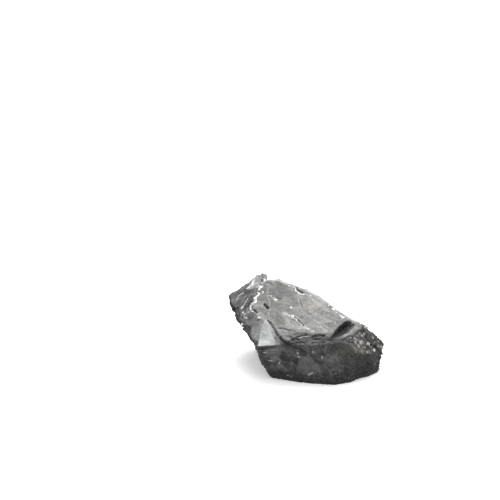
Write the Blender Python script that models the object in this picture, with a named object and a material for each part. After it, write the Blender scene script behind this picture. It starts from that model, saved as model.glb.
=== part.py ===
"""Aquarium rock: one broken block of dark, layered stone that lies on a flat foot.

The block is set out as a cage of corners, joined facet by facet as the stone would cleave: a broad
slab that slopes forward, a raised layer on its left with a sharp crest, a lower layer that shows at
the front left, a steep front face, a rough broken end on the right, and an undercut left side.
Shell-shaped scars are then cut from it, its surface gets low relief, and its foot is cut flat.
Corners are in millimetres: X to the right, Y away from the front, Z up from the foot.
"""

import math

import bmesh
import bpy
from mathutils import Euler, Matrix, Vector, noise
from mathutils.geometry import intersect_point_line

MM = 0.001
FOOT_CUT = 0.4  # height of the level sole above the lowest corners
FACING_DOWN = -0.5  # a normal with less height than this looks down
REMESH_VOXEL = 1.0
SMOOTHING, SMOOTHING_ROUNDS = 0.5, 2  # takes the remesh's own steps off
TRIANGLE_BUDGET = 9400

CORNERS = {
    # the raised layer on the left: its crest, its back edge, its tip and its left edge
    "horn": (-42.5, 100.0, 89.2),
    "horn_back": (-51.0, 102.0, 84.4),
    "shoulder_1": (-56.5, 100.0, 79.5),
    "shoulder_2": (-62.5, 98.0, 77.0),
    "shoulder_3": (-70.5, 94.0, 70.0),
    "shoulder_4": (-78.0, 90.0, 68.0),
    "tip": (-80.5, 86.0, 65.0),
    "left_1": (-79.5, 80.0, 58.5),
    "left_2": (-75.0, 70.0, 52.5),
    "left_3": (-69.0, 56.0, 47.0),
    "left_4": (-63.0, 42.0, 41.8),
    "left_5": (-56.0, 23.0, 40.0),
    "crest_1": (-45.5, 91.0, 81.5),
    "crest_2": (-50.5, 80.0, 76.2),
    "crest_3": (-55.0, 69.0, 71.2),
    "crest_4": (-58.5, 58.0, 66.4),
    "dip_1": (-55.0, 94.0, 75.8),
    "dip_2": (-63.5, 78.0, 66.0),
    "dip_3": (-66.5, 66.0, 58.0),
    "cheek": (-62.0, 52.0, 57.0),
    "saddle": (-55.0, 46.0, 61.5),
    # the broad slab: the seam under the crest, the crown, the long back edge and the beak
    "notch": (-40.0, 95.0, 80.0),
    "seam_1": (-43.5, 84.0, 76.0),
    "seam_2": (-48.0, 74.0, 72.0),
    "seam_3": (-52.5, 63.0, 68.0),
    "crown": (-26.0, 100.0, 81.0),
    "brow_1": (-16.5, 94.5, 78.0),
    "brow_2": (1.5, 87.0, 73.5),
    "brow_3": (18.0, 77.0, 68.0),
    "brow_4": (31.5, 63.0, 61.0),
    "brow_5": (46.0, 50.0, 54.5),
    "beak": (60.5, 42.0, 50.0),
    "lip_1": (57.5, 36.0, 48.2),
    "lip_2": (47.0, 26.0, 44.5),
    "lip_3": (34.5, 16.0, 42.4),
    "rim_1": (-13.0, 14.0, 45.6),
    "rim_2": (-1.0, 18.0, 46.2),
    "rim_3": (8.5, 21.0, 46.8),
    "rim_4": (17.0, 22.0, 46.2),
    "rim_5": (24.0, 17.0, 43.6),
    # the step from the slab down to the lower layer
    "gap_0": (-48.5, 42.5, 59.5),
    "gap_1": (-46.0, 38.0, 57.5),
    "step_top": (-38.5, 36.5, 56.0),
    "step_1": (-34.5, 31.5, 53.5),
    "step_2": (-30.5, 24.5, 50.5),
    "step_3": (-28.0, 19.0, 48.0),
    "step_foot": (-23.5, 9.5, 44.0),
    # the lower layer
    "ledge_2": (-36.0, 26.0, 49.2),
    "ledge_1": (-32.5, 19.0, 44.6),
    "ledge_0": (-29.0, 14.5, 41.4),
    "ledge_mid": (-38.0, 8.5, 38.7),
    "ledge_left": (-46.0, 26.0, 50.3),
    "corner": (-49.3, 7.0, 39.0),
    # the steep front face, below the ends of the layers
    "sill_0": (-24.5, 12.0, 39.5),
    "sill_1": (-15.0, 7.0, 41.7),
    "sill_2": (4.7, 5.5, 42.8),
    "sill_3": (22.5, 8.0, 43.6),
    "face_1": (-15.0, 5.0, 23.2),
    "face_2": (10.5, 1.5, 29.0),
    "face_3": (22.5, -1.0, 13.0),
    "face_4": (45.0, 6.0, 23.0),
    "face_5": (61.0, 19.0, 12.5),
    "face_0": (-32.0, 10.0, 23.5),
    "heel_1": (-47.4, 11.0, 26.4),
    "heel_2": (-42.1, 13.0, 13.1),
    "toe": (-37.3, 15.0, 3.4),
    # the broken end on the right
    "chip_0": (42.0, 13.0, 40.5),
    "chip_1": (45.0, 9.0, 34.5),
    "chip_2": (56.0, 15.0, 27.5),
    "chip_3": (70.5, 29.0, 23.5),
    "chip_4": (83.0, 43.0, 23.0),
    "chip_mid": (57.0, 28.0, 36.7),
    "right_1": (67.8, 47.0, 42.0),
    "right_2": (77.0, 50.0, 34.3),
    "right": (85.0, 50.0, 24.5),
    "right_3": (80.0, 41.0, 14.0),
    "right_4": (77.0, 34.0, 3.0),
    # the back
    "back_1": (80.0, 60.0, 17.0),
    "back_2": (69.0, 64.0, 30.0),
    "back_3": (44.0, 93.0, 27.0),
    "back_4": (12.0, 111.0, 47.0),
    "back_5": (-26.0, 122.0, 33.0),
    "back_6": (-57.0, 116.0, 50.0),
    "back_7": (-76.0, 98.0, 47.0),
    "nape_1": (-34.0, 112.0, 70.0),
    "nape_2": (-56.0, 110.0, 69.0),
    # the undercut left side
    "under_1": (-58.0, 84.0, 31.0),
    "under_2": (-49.0, 58.0, 26.0),
    "under_3": (-45.5, 32.0, 19.0),
    "under_4": (-47.5, 26.0, 33.0),
    # the outline of the foot
    "foot_0": (-33.0, 17.0, 0.0),
    "foot_1": (-7.0, 6.0, 0.0),
    "foot_2": (28.0, 0.0, 0.0),
    "foot_3": (44.0, 6.0, 0.0),
    "foot_4": (54.0, 16.0, 0.0),
    "foot_5": (63.5, 21.0, 0.0),
    "foot_6": (74.0, 32.0, 0.0),
    "foot_7": (73.0, 46.0, 0.0),
    "foot_8": (58.0, 62.0, 0.0),
    "foot_9": (34.0, 84.0, 0.0),
    "foot_10": (4.0, 100.0, 0.0),
    "foot_11": (-30.0, 106.0, 0.0),
    "foot_12": (-49.0, 97.0, 0.0),
    "foot_13": (-45.0, 64.0, 0.0),
    "foot_14": (-41.0, 38.0, 0.0),
}

FACETS = {
    "crest": (
        "horn notch seam_1 crest_1",
        "crest_1 seam_1 seam_2 crest_2",
        "crest_2 seam_2 seam_3 crest_3",
        "crest_3 seam_3 saddle crest_4",
    ),
    "raised layer": (
        "horn crest_1 dip_1 shoulder_1 horn_back",
        "crest_1 crest_2 dip_2 dip_1",
        "crest_2 crest_3 dip_2",
        "crest_3 crest_4 dip_3 dip_2",
        "crest_4 saddle cheek dip_3",
        "cheek left_3 left_2 dip_3",
        "dip_3 left_2 left_1 dip_2",
        "dip_2 left_1 tip shoulder_4 shoulder_3",
        "dip_1 dip_2 shoulder_3 shoulder_2 shoulder_1",
    ),
    "cheek": ("cheek saddle gap_0 gap_1 ledge_left corner left_5 left_4 left_3",),
    "slab": (
        "notch crown brow_1 brow_2 brow_3 brow_4 brow_5 beak lip_1 lip_2 lip_3 rim_5 rim_4 rim_3 rim_2"
        " rim_1 step_foot step_3 step_2 step_1 step_top gap_1 gap_0 saddle seam_3 seam_2 seam_1",
    ),
    "step": (
        "gap_1 step_top ledge_left",
        "step_top step_1 ledge_2",
        "step_1 step_2 ledge_2",
        "step_2 step_3 ledge_1 ledge_2",
        "step_3 step_foot ledge_0 ledge_1",
        "step_foot sill_0 ledge_0",
    ),
    "lower layer": ("step_top ledge_2 ledge_1 ledge_0 sill_0 ledge_mid corner ledge_left",),
    "layer ends": (
        "step_foot rim_1 sill_1 sill_0",
        "rim_1 rim_2 sill_1",
        "rim_2 rim_3 sill_2 sill_1",
        "rim_3 rim_4 sill_2",
        "rim_4 rim_5 sill_3 sill_2",
        "rim_5 lip_3 sill_3",
    ),
    "front": (
        "corner ledge_mid face_0 heel_1",
        "ledge_mid sill_0 face_0",
        "sill_0 sill_1 face_1 face_0",
        "heel_1 face_0 heel_2",
        "heel_2 face_0 foot_0 toe",
        "face_0 face_1 foot_1 foot_0",
        "face_1 sill_1 sill_2 face_2",
        "face_1 face_2 face_3 foot_1",
        "face_3 foot_2 foot_1",
        "sill_2 sill_3 face_2",
        "face_2 sill_3 lip_3 chip_0 chip_1 face_4",
        "face_2 face_4 face_3",
        "face_3 face_4 foot_3 foot_2",
        "face_4 chip_1 chip_2 face_5",
        "face_4 face_5 foot_4 foot_3",
        "face_5 foot_5 foot_4",
        "chip_2 chip_3 face_5",
        "face_5 chip_3 right_3",
        "chip_3 chip_4 right_3",
        "chip_4 right right_3",
        "face_5 right_3 right_4",
        "face_5 right_4 foot_6 foot_5",
    ),
    "broken end": (
        "lip_3 lip_2 chip_mid chip_0",
        "lip_1 right_1 chip_mid lip_2",
        "lip_1 beak right_1",
        "chip_mid chip_0 chip_1 chip_2",
        "chip_mid chip_2 chip_3",
        "right_1 right_2 chip_mid",
        "right_2 chip_3 chip_mid",
        "right_2 right chip_4 chip_3",
    ),
    "back": (
        "beak back_2 right_1",
        "right_1 back_2 right_2",
        "right_2 back_2 back_1 right",
        "brow_5 beak back_2",
        "brow_4 brow_5 back_2 back_3",
        "brow_3 brow_4 back_3",
        "brow_2 brow_3 back_3 back_4",
        "brow_1 brow_2 back_4",
        "crown brow_1 back_4 back_5",
        "notch crown nape_1",
        "crown back_5 nape_1",
        "horn notch nape_1",
        "horn nape_1 nape_2 horn_back",
        "nape_1 back_5 back_6 nape_2",
        "horn_back nape_2 shoulder_1",
        "shoulder_1 nape_2 shoulder_2",
        "shoulder_2 nape_2 back_6 shoulder_3",
        "shoulder_3 back_6 back_7",
        "shoulder_3 back_7 shoulder_4",
        "shoulder_4 back_7 tip",
        "right right_3 right_4 foot_6 foot_7 back_1",
        "back_1 foot_7 foot_8",
        "back_1 foot_8 back_2",
        "back_2 foot_8 foot_9 back_3",
        "back_3 foot_9 foot_10 back_4",
        "back_4 foot_10 foot_11 back_5",
        "back_5 foot_11 foot_12 back_6",
        "back_6 foot_12 back_7",
    ),
    "undercut": (
        "tip left_1 under_1 back_7",
        "back_7 under_1 foot_12",
        "left_1 left_2 under_1",
        "left_2 left_3 under_2 under_1",
        "left_3 left_4 under_2",
        "left_4 under_3 under_2",
        "left_4 left_5 under_4 under_3",
        "left_5 corner under_4",
        "corner heel_1 under_4",
        "under_4 heel_1 under_3",
        "under_3 heel_1 heel_2",
        "under_3 heel_2 toe foot_0 foot_14",
        "under_2 under_3 foot_14 foot_13",
        "under_1 under_2 foot_13 foot_12",
    ),
    "foot": (" ".join(f"foot_{i}" for i in range(15)),),
}

# Shell-shaped scars: name, middle, half-sizes of the ellipsoid that is taken away, and its turn in degrees.
SCARS = (
    ("slit", (-39.5, 56.5, 64.6), (5.0, 1.3, 2.2), (22.0, 0.0, -60.0)),
    ("right back scoop", (46.0, 116.0, 78.0), (56.0, 36.0, 44.0), (0.0, 0.0, -34.0)),
    ("low back scoop", (66.0, 104.0, -2.0), (44.0, 38.0, 28.0), (0.0, 0.0, -44.0)),
    ("middle back scoop", (-4.0, 140.0, 14.0), (32.0, 40.0, 30.0), (0.0, 0.0, -8.0)),
    ("rear scoop", (-50.0, 150.0, 62.0), (32.0, 42.0, 28.0), (-20.0, 0.0, 20.0)),
    ("left scoop", (-84.0, 94.0, 14.0), (36.0, 34.0, 30.0), (0.0, 20.0, 0.0)),
    ("left foot scoop", (-68.0, 42.0, 8.0), (28.0, 24.0, 22.0), (0.0, 20.0, 0.0)),
)
# The leaf-shaped pocket near the beak, pointed at its front end.
POCKET_MIDDLE, POCKET_HALF_SIZES, POCKET_TURN = (36.0, 30.5, 47.4), (18.0, 9.2, 9.5), (22.0, -12.0, 48.0)
POCKET_RIGHT_SIDE = 0.75  # its right side's width, as a share of its left side's

# The layers of the stone lie parallel to the slab. Where their ends show: name, middle, reach, pitch, depth.
BEDDING = Vector((0.078, -0.376, 0.923))
TREAD_SHARE = 0.75  # how much of each layer is tread; the rest is the rise to the next one
LAYER_WAVES = ((0.5, 40.0), (0.3, 8.0))  # how the layers wave: share of a layer, wavelength
LAYER_ENDS = (
    ("left edge", (-70.0, 56.0, 48.0), 40.0, 4.5, 1.8),
    ("right back", (70.0, 62.0, 26.0), 30.0, 4.5, 2.2),
    ("back", (-40.0, 114.0, 56.0), 50.0, 6.0, 3.4),
)

# Thin flakes that have come off the slab: name, start and end of the edge they left, their drop and reach.
FLAKES = (
    ("across", (-21.0, 48.0, 59.2), (3.0, 27.0, 49.0), 1.2, 16.0),
    ("brow", (-9.0, 88.0, 74.5), (0.5, 77.0, 69.5), 1.2, 7.0),
    ("crown", (-34.0, 92.0, 78.5), (-37.5, 37.0, 56.3), 0.8, 9.0),
)

FLAKE_WANDER, FLAKE_WANDER_LENGTH = 2.5, 9.0  # how far a flake's edge strays from the straight line

# The thin layers that end one after the other along the slab's front rim.
RIM_MIDDLE, RIM_HALF_LENGTH = Vector((2.0, 6.0, 44.0)), 30.0
RIM_REACH, RIM_TREAD, RIM_DROP = 19.0, 4.8, 0.9
RIM_WAVES = ((5.0, 11.0),)  # how the ends stray: millimetres, wavelength
RIM_DEPTH = 4.0  # how far below the rim's middle the thin layers go on

# The rings that a blow left in a scar: name, where it struck, reach, ring spacing, height.
RINGS = (
    ("right back", (-12.0, 104.0, 88.0), 90.0, 13.0, 0.5),
    ("left", (-84.0, 78.0, 50.0), 50.0, 8.0, 0.5),
)
RING_WAVES = ((0.6, 15.0),)  # how the rings stray: share of a ring, wavelength

SWELL_LENGTH, SWELL_HEIGHT = 34.0, 0.9  # the slow swell of every facet
SLAB_FACING = 0.75  # a surface counts as slab where it faces this much along the bedding

# Where the stone broke roughly: name, middle, reach, size of one small face, height of the relief.
ROUGH_PARTS = (
    ("crest", (-50.0, 76.0, 73.0), 17.0, 6.0, 1.5),
    ("horn", (-45.0, 98.0, 83.0), 14.0, 7.0, 1.0),
    ("raised layer", (-70.0, 70.0, 57.0), 30.0, 12.0, 1.6),
    ("front", (10.0, 0.0, 16.0), 50.0, 19.0, 0.8),
    ("left foot", (-36.0, 10.0, 10.0), 22.0, 8.0, 1.6),
    ("broken end", (66.0, 33.0, 33.0), 25.0, 4.6, 2.6),
    ("right foot", (78.0, 46.0, 8.0), 26.0, 8.0, 2.2),
    ("back", (-30.0, 116.0, 20.0), 52.0, 13.0, 3.2),
    ("undercut", (-58.0, 70.0, 24.0), 30.0, 9.0, 2.2),
)


def clear_scene():
    for item in list(bpy.data.objects):
        bpy.data.objects.remove(item, do_unlink=True)


def add_object(name, mesh):
    item = bpy.data.objects.new(name, mesh)
    bpy.context.scene.collection.objects.link(item)
    return item


def cleaved_block():
    """The closed cage: one vertex for each named corner, one face for each cleavage plane."""
    shape = bmesh.new()
    at = {name: shape.verts.new(Vector(corner) * MM) for name, corner in CORNERS.items()}
    for planes in FACETS.values():
        for plane in planes:
            shape.faces.new([at[name] for name in plane.split()])
    bmesh.ops.recalc_face_normals(shape, faces=shape.faces)
    bmesh.ops.triangulate(shape, faces=shape.faces, ngon_method="EAR_CLIP")
    mesh = bpy.data.meshes.new("rock")
    shape.to_mesh(mesh)
    shape.free()
    return add_object("rock", mesh)


def placement(middle, half_sizes, turn):
    """The matrix that makes a unit ball an ellipsoid in its place."""
    angles = Euler([math.radians(angle) for angle in turn])
    return Matrix.LocRotScale(Vector(middle) * MM, angles, Vector(half_sizes) * MM)


def scar_cutter(name, middle, half_sizes, turn):
    """An ellipsoid, kept out of the render, that the Boolean takes away."""
    shape = bmesh.new()
    placed = placement(middle, half_sizes, turn)
    bmesh.ops.create_icosphere(shape, subdivisions=5, radius=1.0, matrix=placed)
    mesh = bpy.data.meshes.new(name)
    shape.to_mesh(mesh)
    shape.free()
    cutter = add_object(name.replace(" ", "_") + "_cutter", mesh)
    cutter.hide_render = True
    cutter.display_type = "WIRE"
    return cutter


def take_modifiers(item):
    """Puts the result of the object's modifiers in its mesh."""
    graph = bpy.context.evaluated_depsgraph_get()
    mesh = bpy.data.meshes.new_from_object(item.evaluated_get(graph))
    item.modifiers.clear()
    item.data = mesh


def pocket_cutter():
    """The pocket's ellipsoid, drawn out to a point at its front end and flatter on its right side."""
    cutter = scar_cutter("pocket", (0.0, 0.0, 0.0), (1000.0, 1000.0, 1000.0), (0.0, 0.0, 0.0))
    for vertex in cutter.data.vertices:
        taper = math.sqrt((1.0 + vertex.co.x) / 2.0)
        side = POCKET_RIGHT_SIDE if vertex.co.y < 0.0 else 1.0
        vertex.co.y *= taper * side
        vertex.co.z *= taper
    cutter.data.transform(placement(POCKET_MIDDLE, POCKET_HALF_SIZES, POCKET_TURN))
    return cutter


def cut_scars(rock):
    cutters = [scar_cutter(*scar) for scar in SCARS] + [pocket_cutter()]
    for cutter in cutters:
        cut = rock.modifiers.new(cutter.name, "BOOLEAN")
        cut.operation = "DIFFERENCE"
        cut.solver = "EXACT"
        cut.object = cutter
    grain = rock.modifiers.new("even grain", "REMESH")
    grain.mode = "VOXEL"
    grain.voxel_size = REMESH_VOXEL * MM
    soften = rock.modifiers.new("soften", "SMOOTH")
    soften.factor = SMOOTHING
    soften.iterations = SMOOTHING_ROUNDS
    take_modifiers(rock)


def fade(distance, reach):
    """1 at the middle, 0 beyond the reach, smooth in between."""
    share = min(1.0, distance / reach)
    return (1.0 - share * share) ** 2


def rise(height):
    """Whole treads climbed so far, and how much of the next rise."""
    tread = math.floor(height)
    share = max(0.0, (height - tread - TREAD_SHARE) / (1.0 - TREAD_SHARE))
    return tread, share * share * (3.0 - 2.0 * share)


def layer_stand(height):
    """How far the layer at this height stands out: a random 0 to 1 for each layer."""
    tread, share = rise(height)
    here, above = (noise.cell(Vector((cell + 0.5, 0.5, 0.5))) for cell in (tread, tread + 1))
    return here + (above - here) * share


def waviness(point, waves):
    return sum(amount * noise.noise(point / length) for amount, length in waves)


def small_faces(point):
    """Height of a patchwork of flat, tilted faces, one for each Voronoi cell."""
    _, cells = noise.voronoi(point)
    tilt = noise.cell_vector(cells[0] * 7.0) * 2.0 - Vector((1.0, 1.0, 1.0))
    return (point - cells[0]).dot(tilt)


def flake_drop(point, start, end, drop, reach):
    """How far a flake's scar lies below the slab: most at its edge, nothing a reach away, and one-sided."""
    point = point + FLAKE_WANDER * noise.noise_vector(point / FLAKE_WANDER_LENGTH)
    foot, along = intersect_point_line(point, start, end)
    side = (end - start).cross(BEDDING).dot(point - foot)
    distance = (point - foot).length
    if side < 0.0 or distance > reach or not 0.0 < along < 1.0:
        return 0.0
    return drop * (1.0 - distance / reach) * min(1.0, 6.0 * along * (1.0 - along))


def rim_drop(point):
    """How far the slab has come down, in thin wavy steps, on the way to its front rim."""
    ahead = RIM_REACH - (point.y - RIM_MIDDLE.y) + waviness(point, RIM_WAVES)
    if ahead <= 0.0 or point.z < RIM_MIDDLE.z - RIM_DEPTH:
        return 0.0
    side = fade(abs(point.x - RIM_MIDDLE.x), RIM_HALF_LENGTH)
    return side * RIM_DROP * sum(rise(ahead / RIM_TREAD))


def relief(point, normal):
    """How far the surface stands out along its normal, in millimetres."""
    height = SWELL_HEIGHT * noise.fractal(point / SWELL_LENGTH, 1.0, 2.0, 3)
    for _, middle, reach, size, amount in ROUGH_PARTS:
        share = fade((point - Vector(middle)).length, reach)
        if share > 0.0:
            height += share * amount * small_faces(point / size)
    across = 1.0 - normal.dot(BEDDING) ** 2
    for _, middle, reach, pitch, depth in LAYER_ENDS:
        share = fade((point - Vector(middle)).length, reach)
        if share > 0.0:
            layer = point.dot(BEDDING) / pitch + waviness(point, LAYER_WAVES)
            height += share * depth * across * (layer_stand(layer) - 0.5)
    for _, struck, reach, spacing, amount in RINGS:
        distance = (point - Vector(struck)).length
        share = fade(distance, reach) * min(1.0, distance / spacing) * across
        if share > 0.0:
            ring = distance / spacing + waviness(point, RING_WAVES)
            height += share * amount * math.sin(2.0 * math.pi * ring)
    if normal.dot(BEDDING) > SLAB_FACING:
        height -= rim_drop(point)
        for _, start, end, drop, reach in FLAKES:
            height -= flake_drop(point, Vector(start), Vector(end), drop, reach)
    return height


def roughen(rock):
    """Moves each point of the stone by its relief, apart from the sole, which stays level."""
    mesh = rock.data
    normals = [vertex.normal.copy() for vertex in mesh.vertices]
    for vertex, normal in zip(mesh.vertices, normals):
        on_sole = vertex.co.z < FOOT_CUT * MM and normal.z < FACING_DOWN
        if not on_sole:
            vertex.co += normal * (relief(vertex.co / MM, normal) * MM)


def cut_foot_flat(rock):
    """Saws the stone off level at the foot and closes the cut with one flat face."""
    shape = bmesh.new()
    shape.from_mesh(rock.data)
    everything = shape.verts[:] + shape.edges[:] + shape.faces[:]
    cut = bmesh.ops.bisect_plane(
        shape, geom=everything, plane_co=(0.0, 0.0, FOOT_CUT * MM), plane_no=(0.0, 0.0, 1.0), clear_inner=True
    )
    rim = [item for item in cut["geom_cut"] if isinstance(item, bmesh.types.BMEdge)]
    bmesh.ops.holes_fill(shape, edges=rim, sides=0)
    bmesh.ops.triangulate(shape, faces=[face for face in shape.faces if len(face.verts) > 3])
    shape.to_mesh(rock.data)
    shape.free()


def stand_on_origin(rock):
    """Puts the middle of the foot's bounding box at the origin."""
    places = [vertex.co for vertex in rock.data.vertices]
    low = [min(place[axis] for place in places) for axis in range(3)]
    high = [max(place[axis] for place in places) for axis in range(3)]
    middle = Vector(((low[0] + high[0]) / 2, (low[1] + high[1]) / 2, low[2]))
    rock.data.transform(Matrix.Translation(-middle))


def stone():
    """Dark, dull, slightly brown-grey stone."""
    material = bpy.data.materials.new("dark stone")
    material.use_nodes = True
    shader = material.node_tree.nodes["Principled BSDF"]
    shader.inputs["Base Color"].default_value = (0.055, 0.055, 0.054, 1.0)
    shader.inputs["Roughness"].default_value = 0.55
    shader.inputs["Metallic"].default_value = 0.0
    return material


def main():
    clear_scene()
    rock = cleaved_block()
    cut_scars(rock)
    roughen(rock)
    thin = rock.modifiers.new("budget", "DECIMATE")
    thin.ratio = TRIANGLE_BUDGET / (2 * len(rock.data.polygons))
    take_modifiers(rock)
    cut_foot_flat(rock)
    stand_on_origin(rock)
    rock.data.materials.clear()
    rock.data.materials.append(stone())


main()
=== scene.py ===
import math
from functools import partial

import bmesh
import bpy
import numpy as np
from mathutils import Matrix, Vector, noise


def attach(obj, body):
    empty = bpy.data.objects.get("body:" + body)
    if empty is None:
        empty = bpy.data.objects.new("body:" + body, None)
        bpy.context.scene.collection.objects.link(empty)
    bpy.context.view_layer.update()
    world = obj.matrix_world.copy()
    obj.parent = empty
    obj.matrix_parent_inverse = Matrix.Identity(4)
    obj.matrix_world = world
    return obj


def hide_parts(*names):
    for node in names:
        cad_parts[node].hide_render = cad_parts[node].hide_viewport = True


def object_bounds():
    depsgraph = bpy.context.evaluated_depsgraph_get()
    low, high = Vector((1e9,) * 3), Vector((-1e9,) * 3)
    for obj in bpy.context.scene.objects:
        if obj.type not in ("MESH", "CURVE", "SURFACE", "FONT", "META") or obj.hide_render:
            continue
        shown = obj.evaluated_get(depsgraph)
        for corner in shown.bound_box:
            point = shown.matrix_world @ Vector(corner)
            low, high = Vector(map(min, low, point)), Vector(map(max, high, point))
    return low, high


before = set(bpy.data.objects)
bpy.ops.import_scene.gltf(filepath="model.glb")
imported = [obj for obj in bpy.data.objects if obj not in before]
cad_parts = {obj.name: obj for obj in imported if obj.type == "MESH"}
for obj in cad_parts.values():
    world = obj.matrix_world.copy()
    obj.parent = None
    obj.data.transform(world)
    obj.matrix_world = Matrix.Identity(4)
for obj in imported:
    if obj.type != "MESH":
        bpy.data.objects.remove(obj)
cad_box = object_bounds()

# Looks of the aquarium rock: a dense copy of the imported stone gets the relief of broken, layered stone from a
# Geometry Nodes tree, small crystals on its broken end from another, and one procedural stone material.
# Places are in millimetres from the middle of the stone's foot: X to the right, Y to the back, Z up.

MM = 0.001
BEDDING = Vector((0.078, -0.376, 0.923))  # the layers of the stone lie square to this
FRONT_WAY = Vector((0.87, 0.0, -0.5))  # how the streaks on the front run,
SCRATCH_WAY = Vector((0.53, 0.79, 0.32))  # the scratches on the raised layer,
SLAB_WAY = Vector((0.71, -0.62, -0.33))  # the streaks on the slab
RIM_WAY = Vector((1.0, 0.0, 0.0))  # and the thin layers along its rim

# ---------------------------------------------------------------- regions of the stone, seen from above
SLAB = (
    (-41.7, 34.2), (-27.7, 39.2), (-18.2, 33.7), (-0.2, 26.2), (16.3, 16.2), (29.8, 2.2), (44.3, -10.8),
    (58.8, -18.8), (55.8, -24.8), (45.3, -34.8), (32.8, -44.8), (22.3, -43.8), (15.3, -38.8), (6.8, -39.8),
    (-2.7, -42.8), (-14.7, -46.8), (-25.2, -51.3), (-29.7, -41.8), (-32.2, -36.3), (-36.2, -29.3),
    (-40.2, -24.3), (-47.7, -22.8), (-56.7, -14.8), (-54.2, 2.2), (-49.7, 13.2), (-45.2, 23.2),
)
LOWER_LAYER = (
    (-44, -24.6), (-40.2, -24.3), (-37.7, -34.8), (-34.2, -41.8), (-30.7, -46.3), (-26.2, -48.8),
    (-39.7, -52.3), (-51, -53.8), (-47.7, -34.8),
)
STEP = (
    (-47.7, -22.8), (-40.2, -23.3), (-36.2, -29.3), (-32.2, -36.3), (-29.7, -41.8), (-25.2, -51.3),
    (-26.2, -49.8), (-30.7, -46.3), (-34.2, -41.8), (-37.7, -34.8), (-40.6, -25.3),
)
CREST_LINE = ((-44.2, 39.2), (-47.2, 30.2), (-52.2, 19.2), (-56.7, 8.2), (-60.2, -2.8))
CREST = CREST_LINE + (
    (-56.7, -12.8), (-54.2, 2.2), (-49.7, 13.2), (-45.2, 23.2), (-41.7, 34.2),
)
RAISED_LAYER = CREST_LINE + (
    (-66, -1), (-71.5, 2), (-75.3, 11.5), (-79.6, 22.1), (-80.5, 26), (-79.7, 29.2), (-72.2, 33.2),
    (-58.2, 39.2), (-52.7, 41.2),
)
HORN = (
    (-56.5, 37.5), (-52, 41.5), (-44.5, 41.5), (-41.5, 34.5), (-45.9, 26.9), (-49.6, 19.2), (-53.5, 24),
    (-58.5, 25.5), (-63, 27.5), (-60, 33),
)
CHEEK = (
    (-54, -12), (-47.7, -22.8), (-43, -25), (-47, -34.8), (-50, -53.8), (-58.1, -36), (-63.1, -17.5),
    (-66.9, -8.5), (-70.6, -1.5), (-66, 0), (-60, -4),
)
# The left edge, which turns under, darkened as painted shade: outline seen from above.
PAINTED_SHADE_LEFT_EDGE = (
    (-79.6, 22.1), (-75.3, 11.5), (-70.6, -1.5), (-66.9, -8.5), (-63, -15.5), (-58.2, -20.5), (-57.2, -28),
    (-57, -35.5), (-53, -50), (-56, -60), (-90, -60), (-90, 30), (-82, 28),
)
BROKEN_END = (
    (55.4, 51.5), (43.3, 43), (41.6, 39.3), (45.8, 33.9), (50.5, 31.4), (59, 27), (66, 26), (75.5, 25),
    (81, 24), (84, 30), (75.2, 35.6), (64, 46),
)  # seen from ahead: X, Z
BACK_EDGE = (
    (-36, 36.5, 80), (-27.6, 36.3, 79), (-20.2, 33, 77.4), (-7, 26.6, 73.6), (2.1, 22.5, 71.6),
    (11.1, 17.8, 69), (18.7, 12.6, 65.8), (28, 3.8, 60.8), (40.8, -8, 55.2), (49.1, -16, 51.6),
)
BROKEN_BACK, BROKEN_FADE = 5.0, 8.0  # the broken end starts at this Y, and is full this much ahead of it
FADED_START, FADED_END = 54.0, 72.0  # it gets darker between these X
STEP_FOOT, STEP_FADE = 39.0, 2.0  # the step starts at this height, and is full this much above it;
CHEEK_FOOT, CHEEK_FADE = 40.0, 3.0  # the same for the cheek
LOWER_EDGE_X, LOWER_EDGE_SLOPE = -34.4, 0.02  # where the lower layer's shaded side starts
POCKET = (
    (21.5, -45), (22.9, -42.5), (26.7, -36.1), (29.7, -30.4), (32.6, -25.8), (36, -21.1), (39.2, -17.9),
    (42.9, -16.1), (45.5, -15.3), (47, -19.6), (46.5, -25), (44.5, -30.5), (41.1, -35), (37.2, -39),
    (32.8, -43), (28.6, -46), (24.3, -50),
)
# The bulge of the pocket's steep side, which is filled up to the slab.
POCKET_BULGE = (
    (19, -46), (21, -40), (24, -33), (26.5, -27), (29.5, -21.5), (32.5, -17.5), (36, -14.5), (40.5, -12.5),
    (45, -13), (45.5, -15), (42.9, -15.8), (39.2, -17.6), (36, -20.8), (32.6, -25.5), (29.7, -30.1),
    (26.7, -35.8), (22.9, -42.2), (21.5, -45),
)
SLAB_PLANE = (-0.1075, 0.387, 62.3)  # the slab's height: this much of X, this much of Y, and this
# The foot of the pocket's steep wall, where its painted shade is deepest, and its lip: places along each.
POCKET_WALL = (
    (43.2, -16.6, 49.7), (39.6, -18.4, 49), (36.5, -21.4, 47.5), (33.1, -26.1, 46), (30.2, -30.7, 44.5),
    (27.2, -36.4, 43.4), (23.4, -42.8, 42.8),
)
POCKET_LIP = (
    (46.2, -18, 49), (45.8, -21.8, 47.3), (44, -29.8, 47.1), (41.1, -34.4, 45.6), (37.2, -38.4, 44.4),
    (32.8, -42.5, 43.3), (28.6, -45, 42.7), (24.3, -48.2, 42.8),
)
HORN_TIP = (-43.0, 37.0, 84.0), 9.0  # middle, reach
POCKET_FOOT, POCKET_FADE = 38.0, 2.0  # and for the pocket
# The pocket's floor gets painted light between these X.
POCKET_SHADED, POCKET_LIT = 24.0, 42.0  # its floor gets lighter between these X
SMOOTH_PATCH = (
    (-10, 27.5), (-5, 29), (-1, 29), (4, 24.5), (9.5, 22), (11.5, 13.5), (4, 9), (-9, 9.5), (-12, 14),
)  # seen from ahead: X, Z
FRONT_Y = -30.0  # faces ahead of this that look forward are the front

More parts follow.
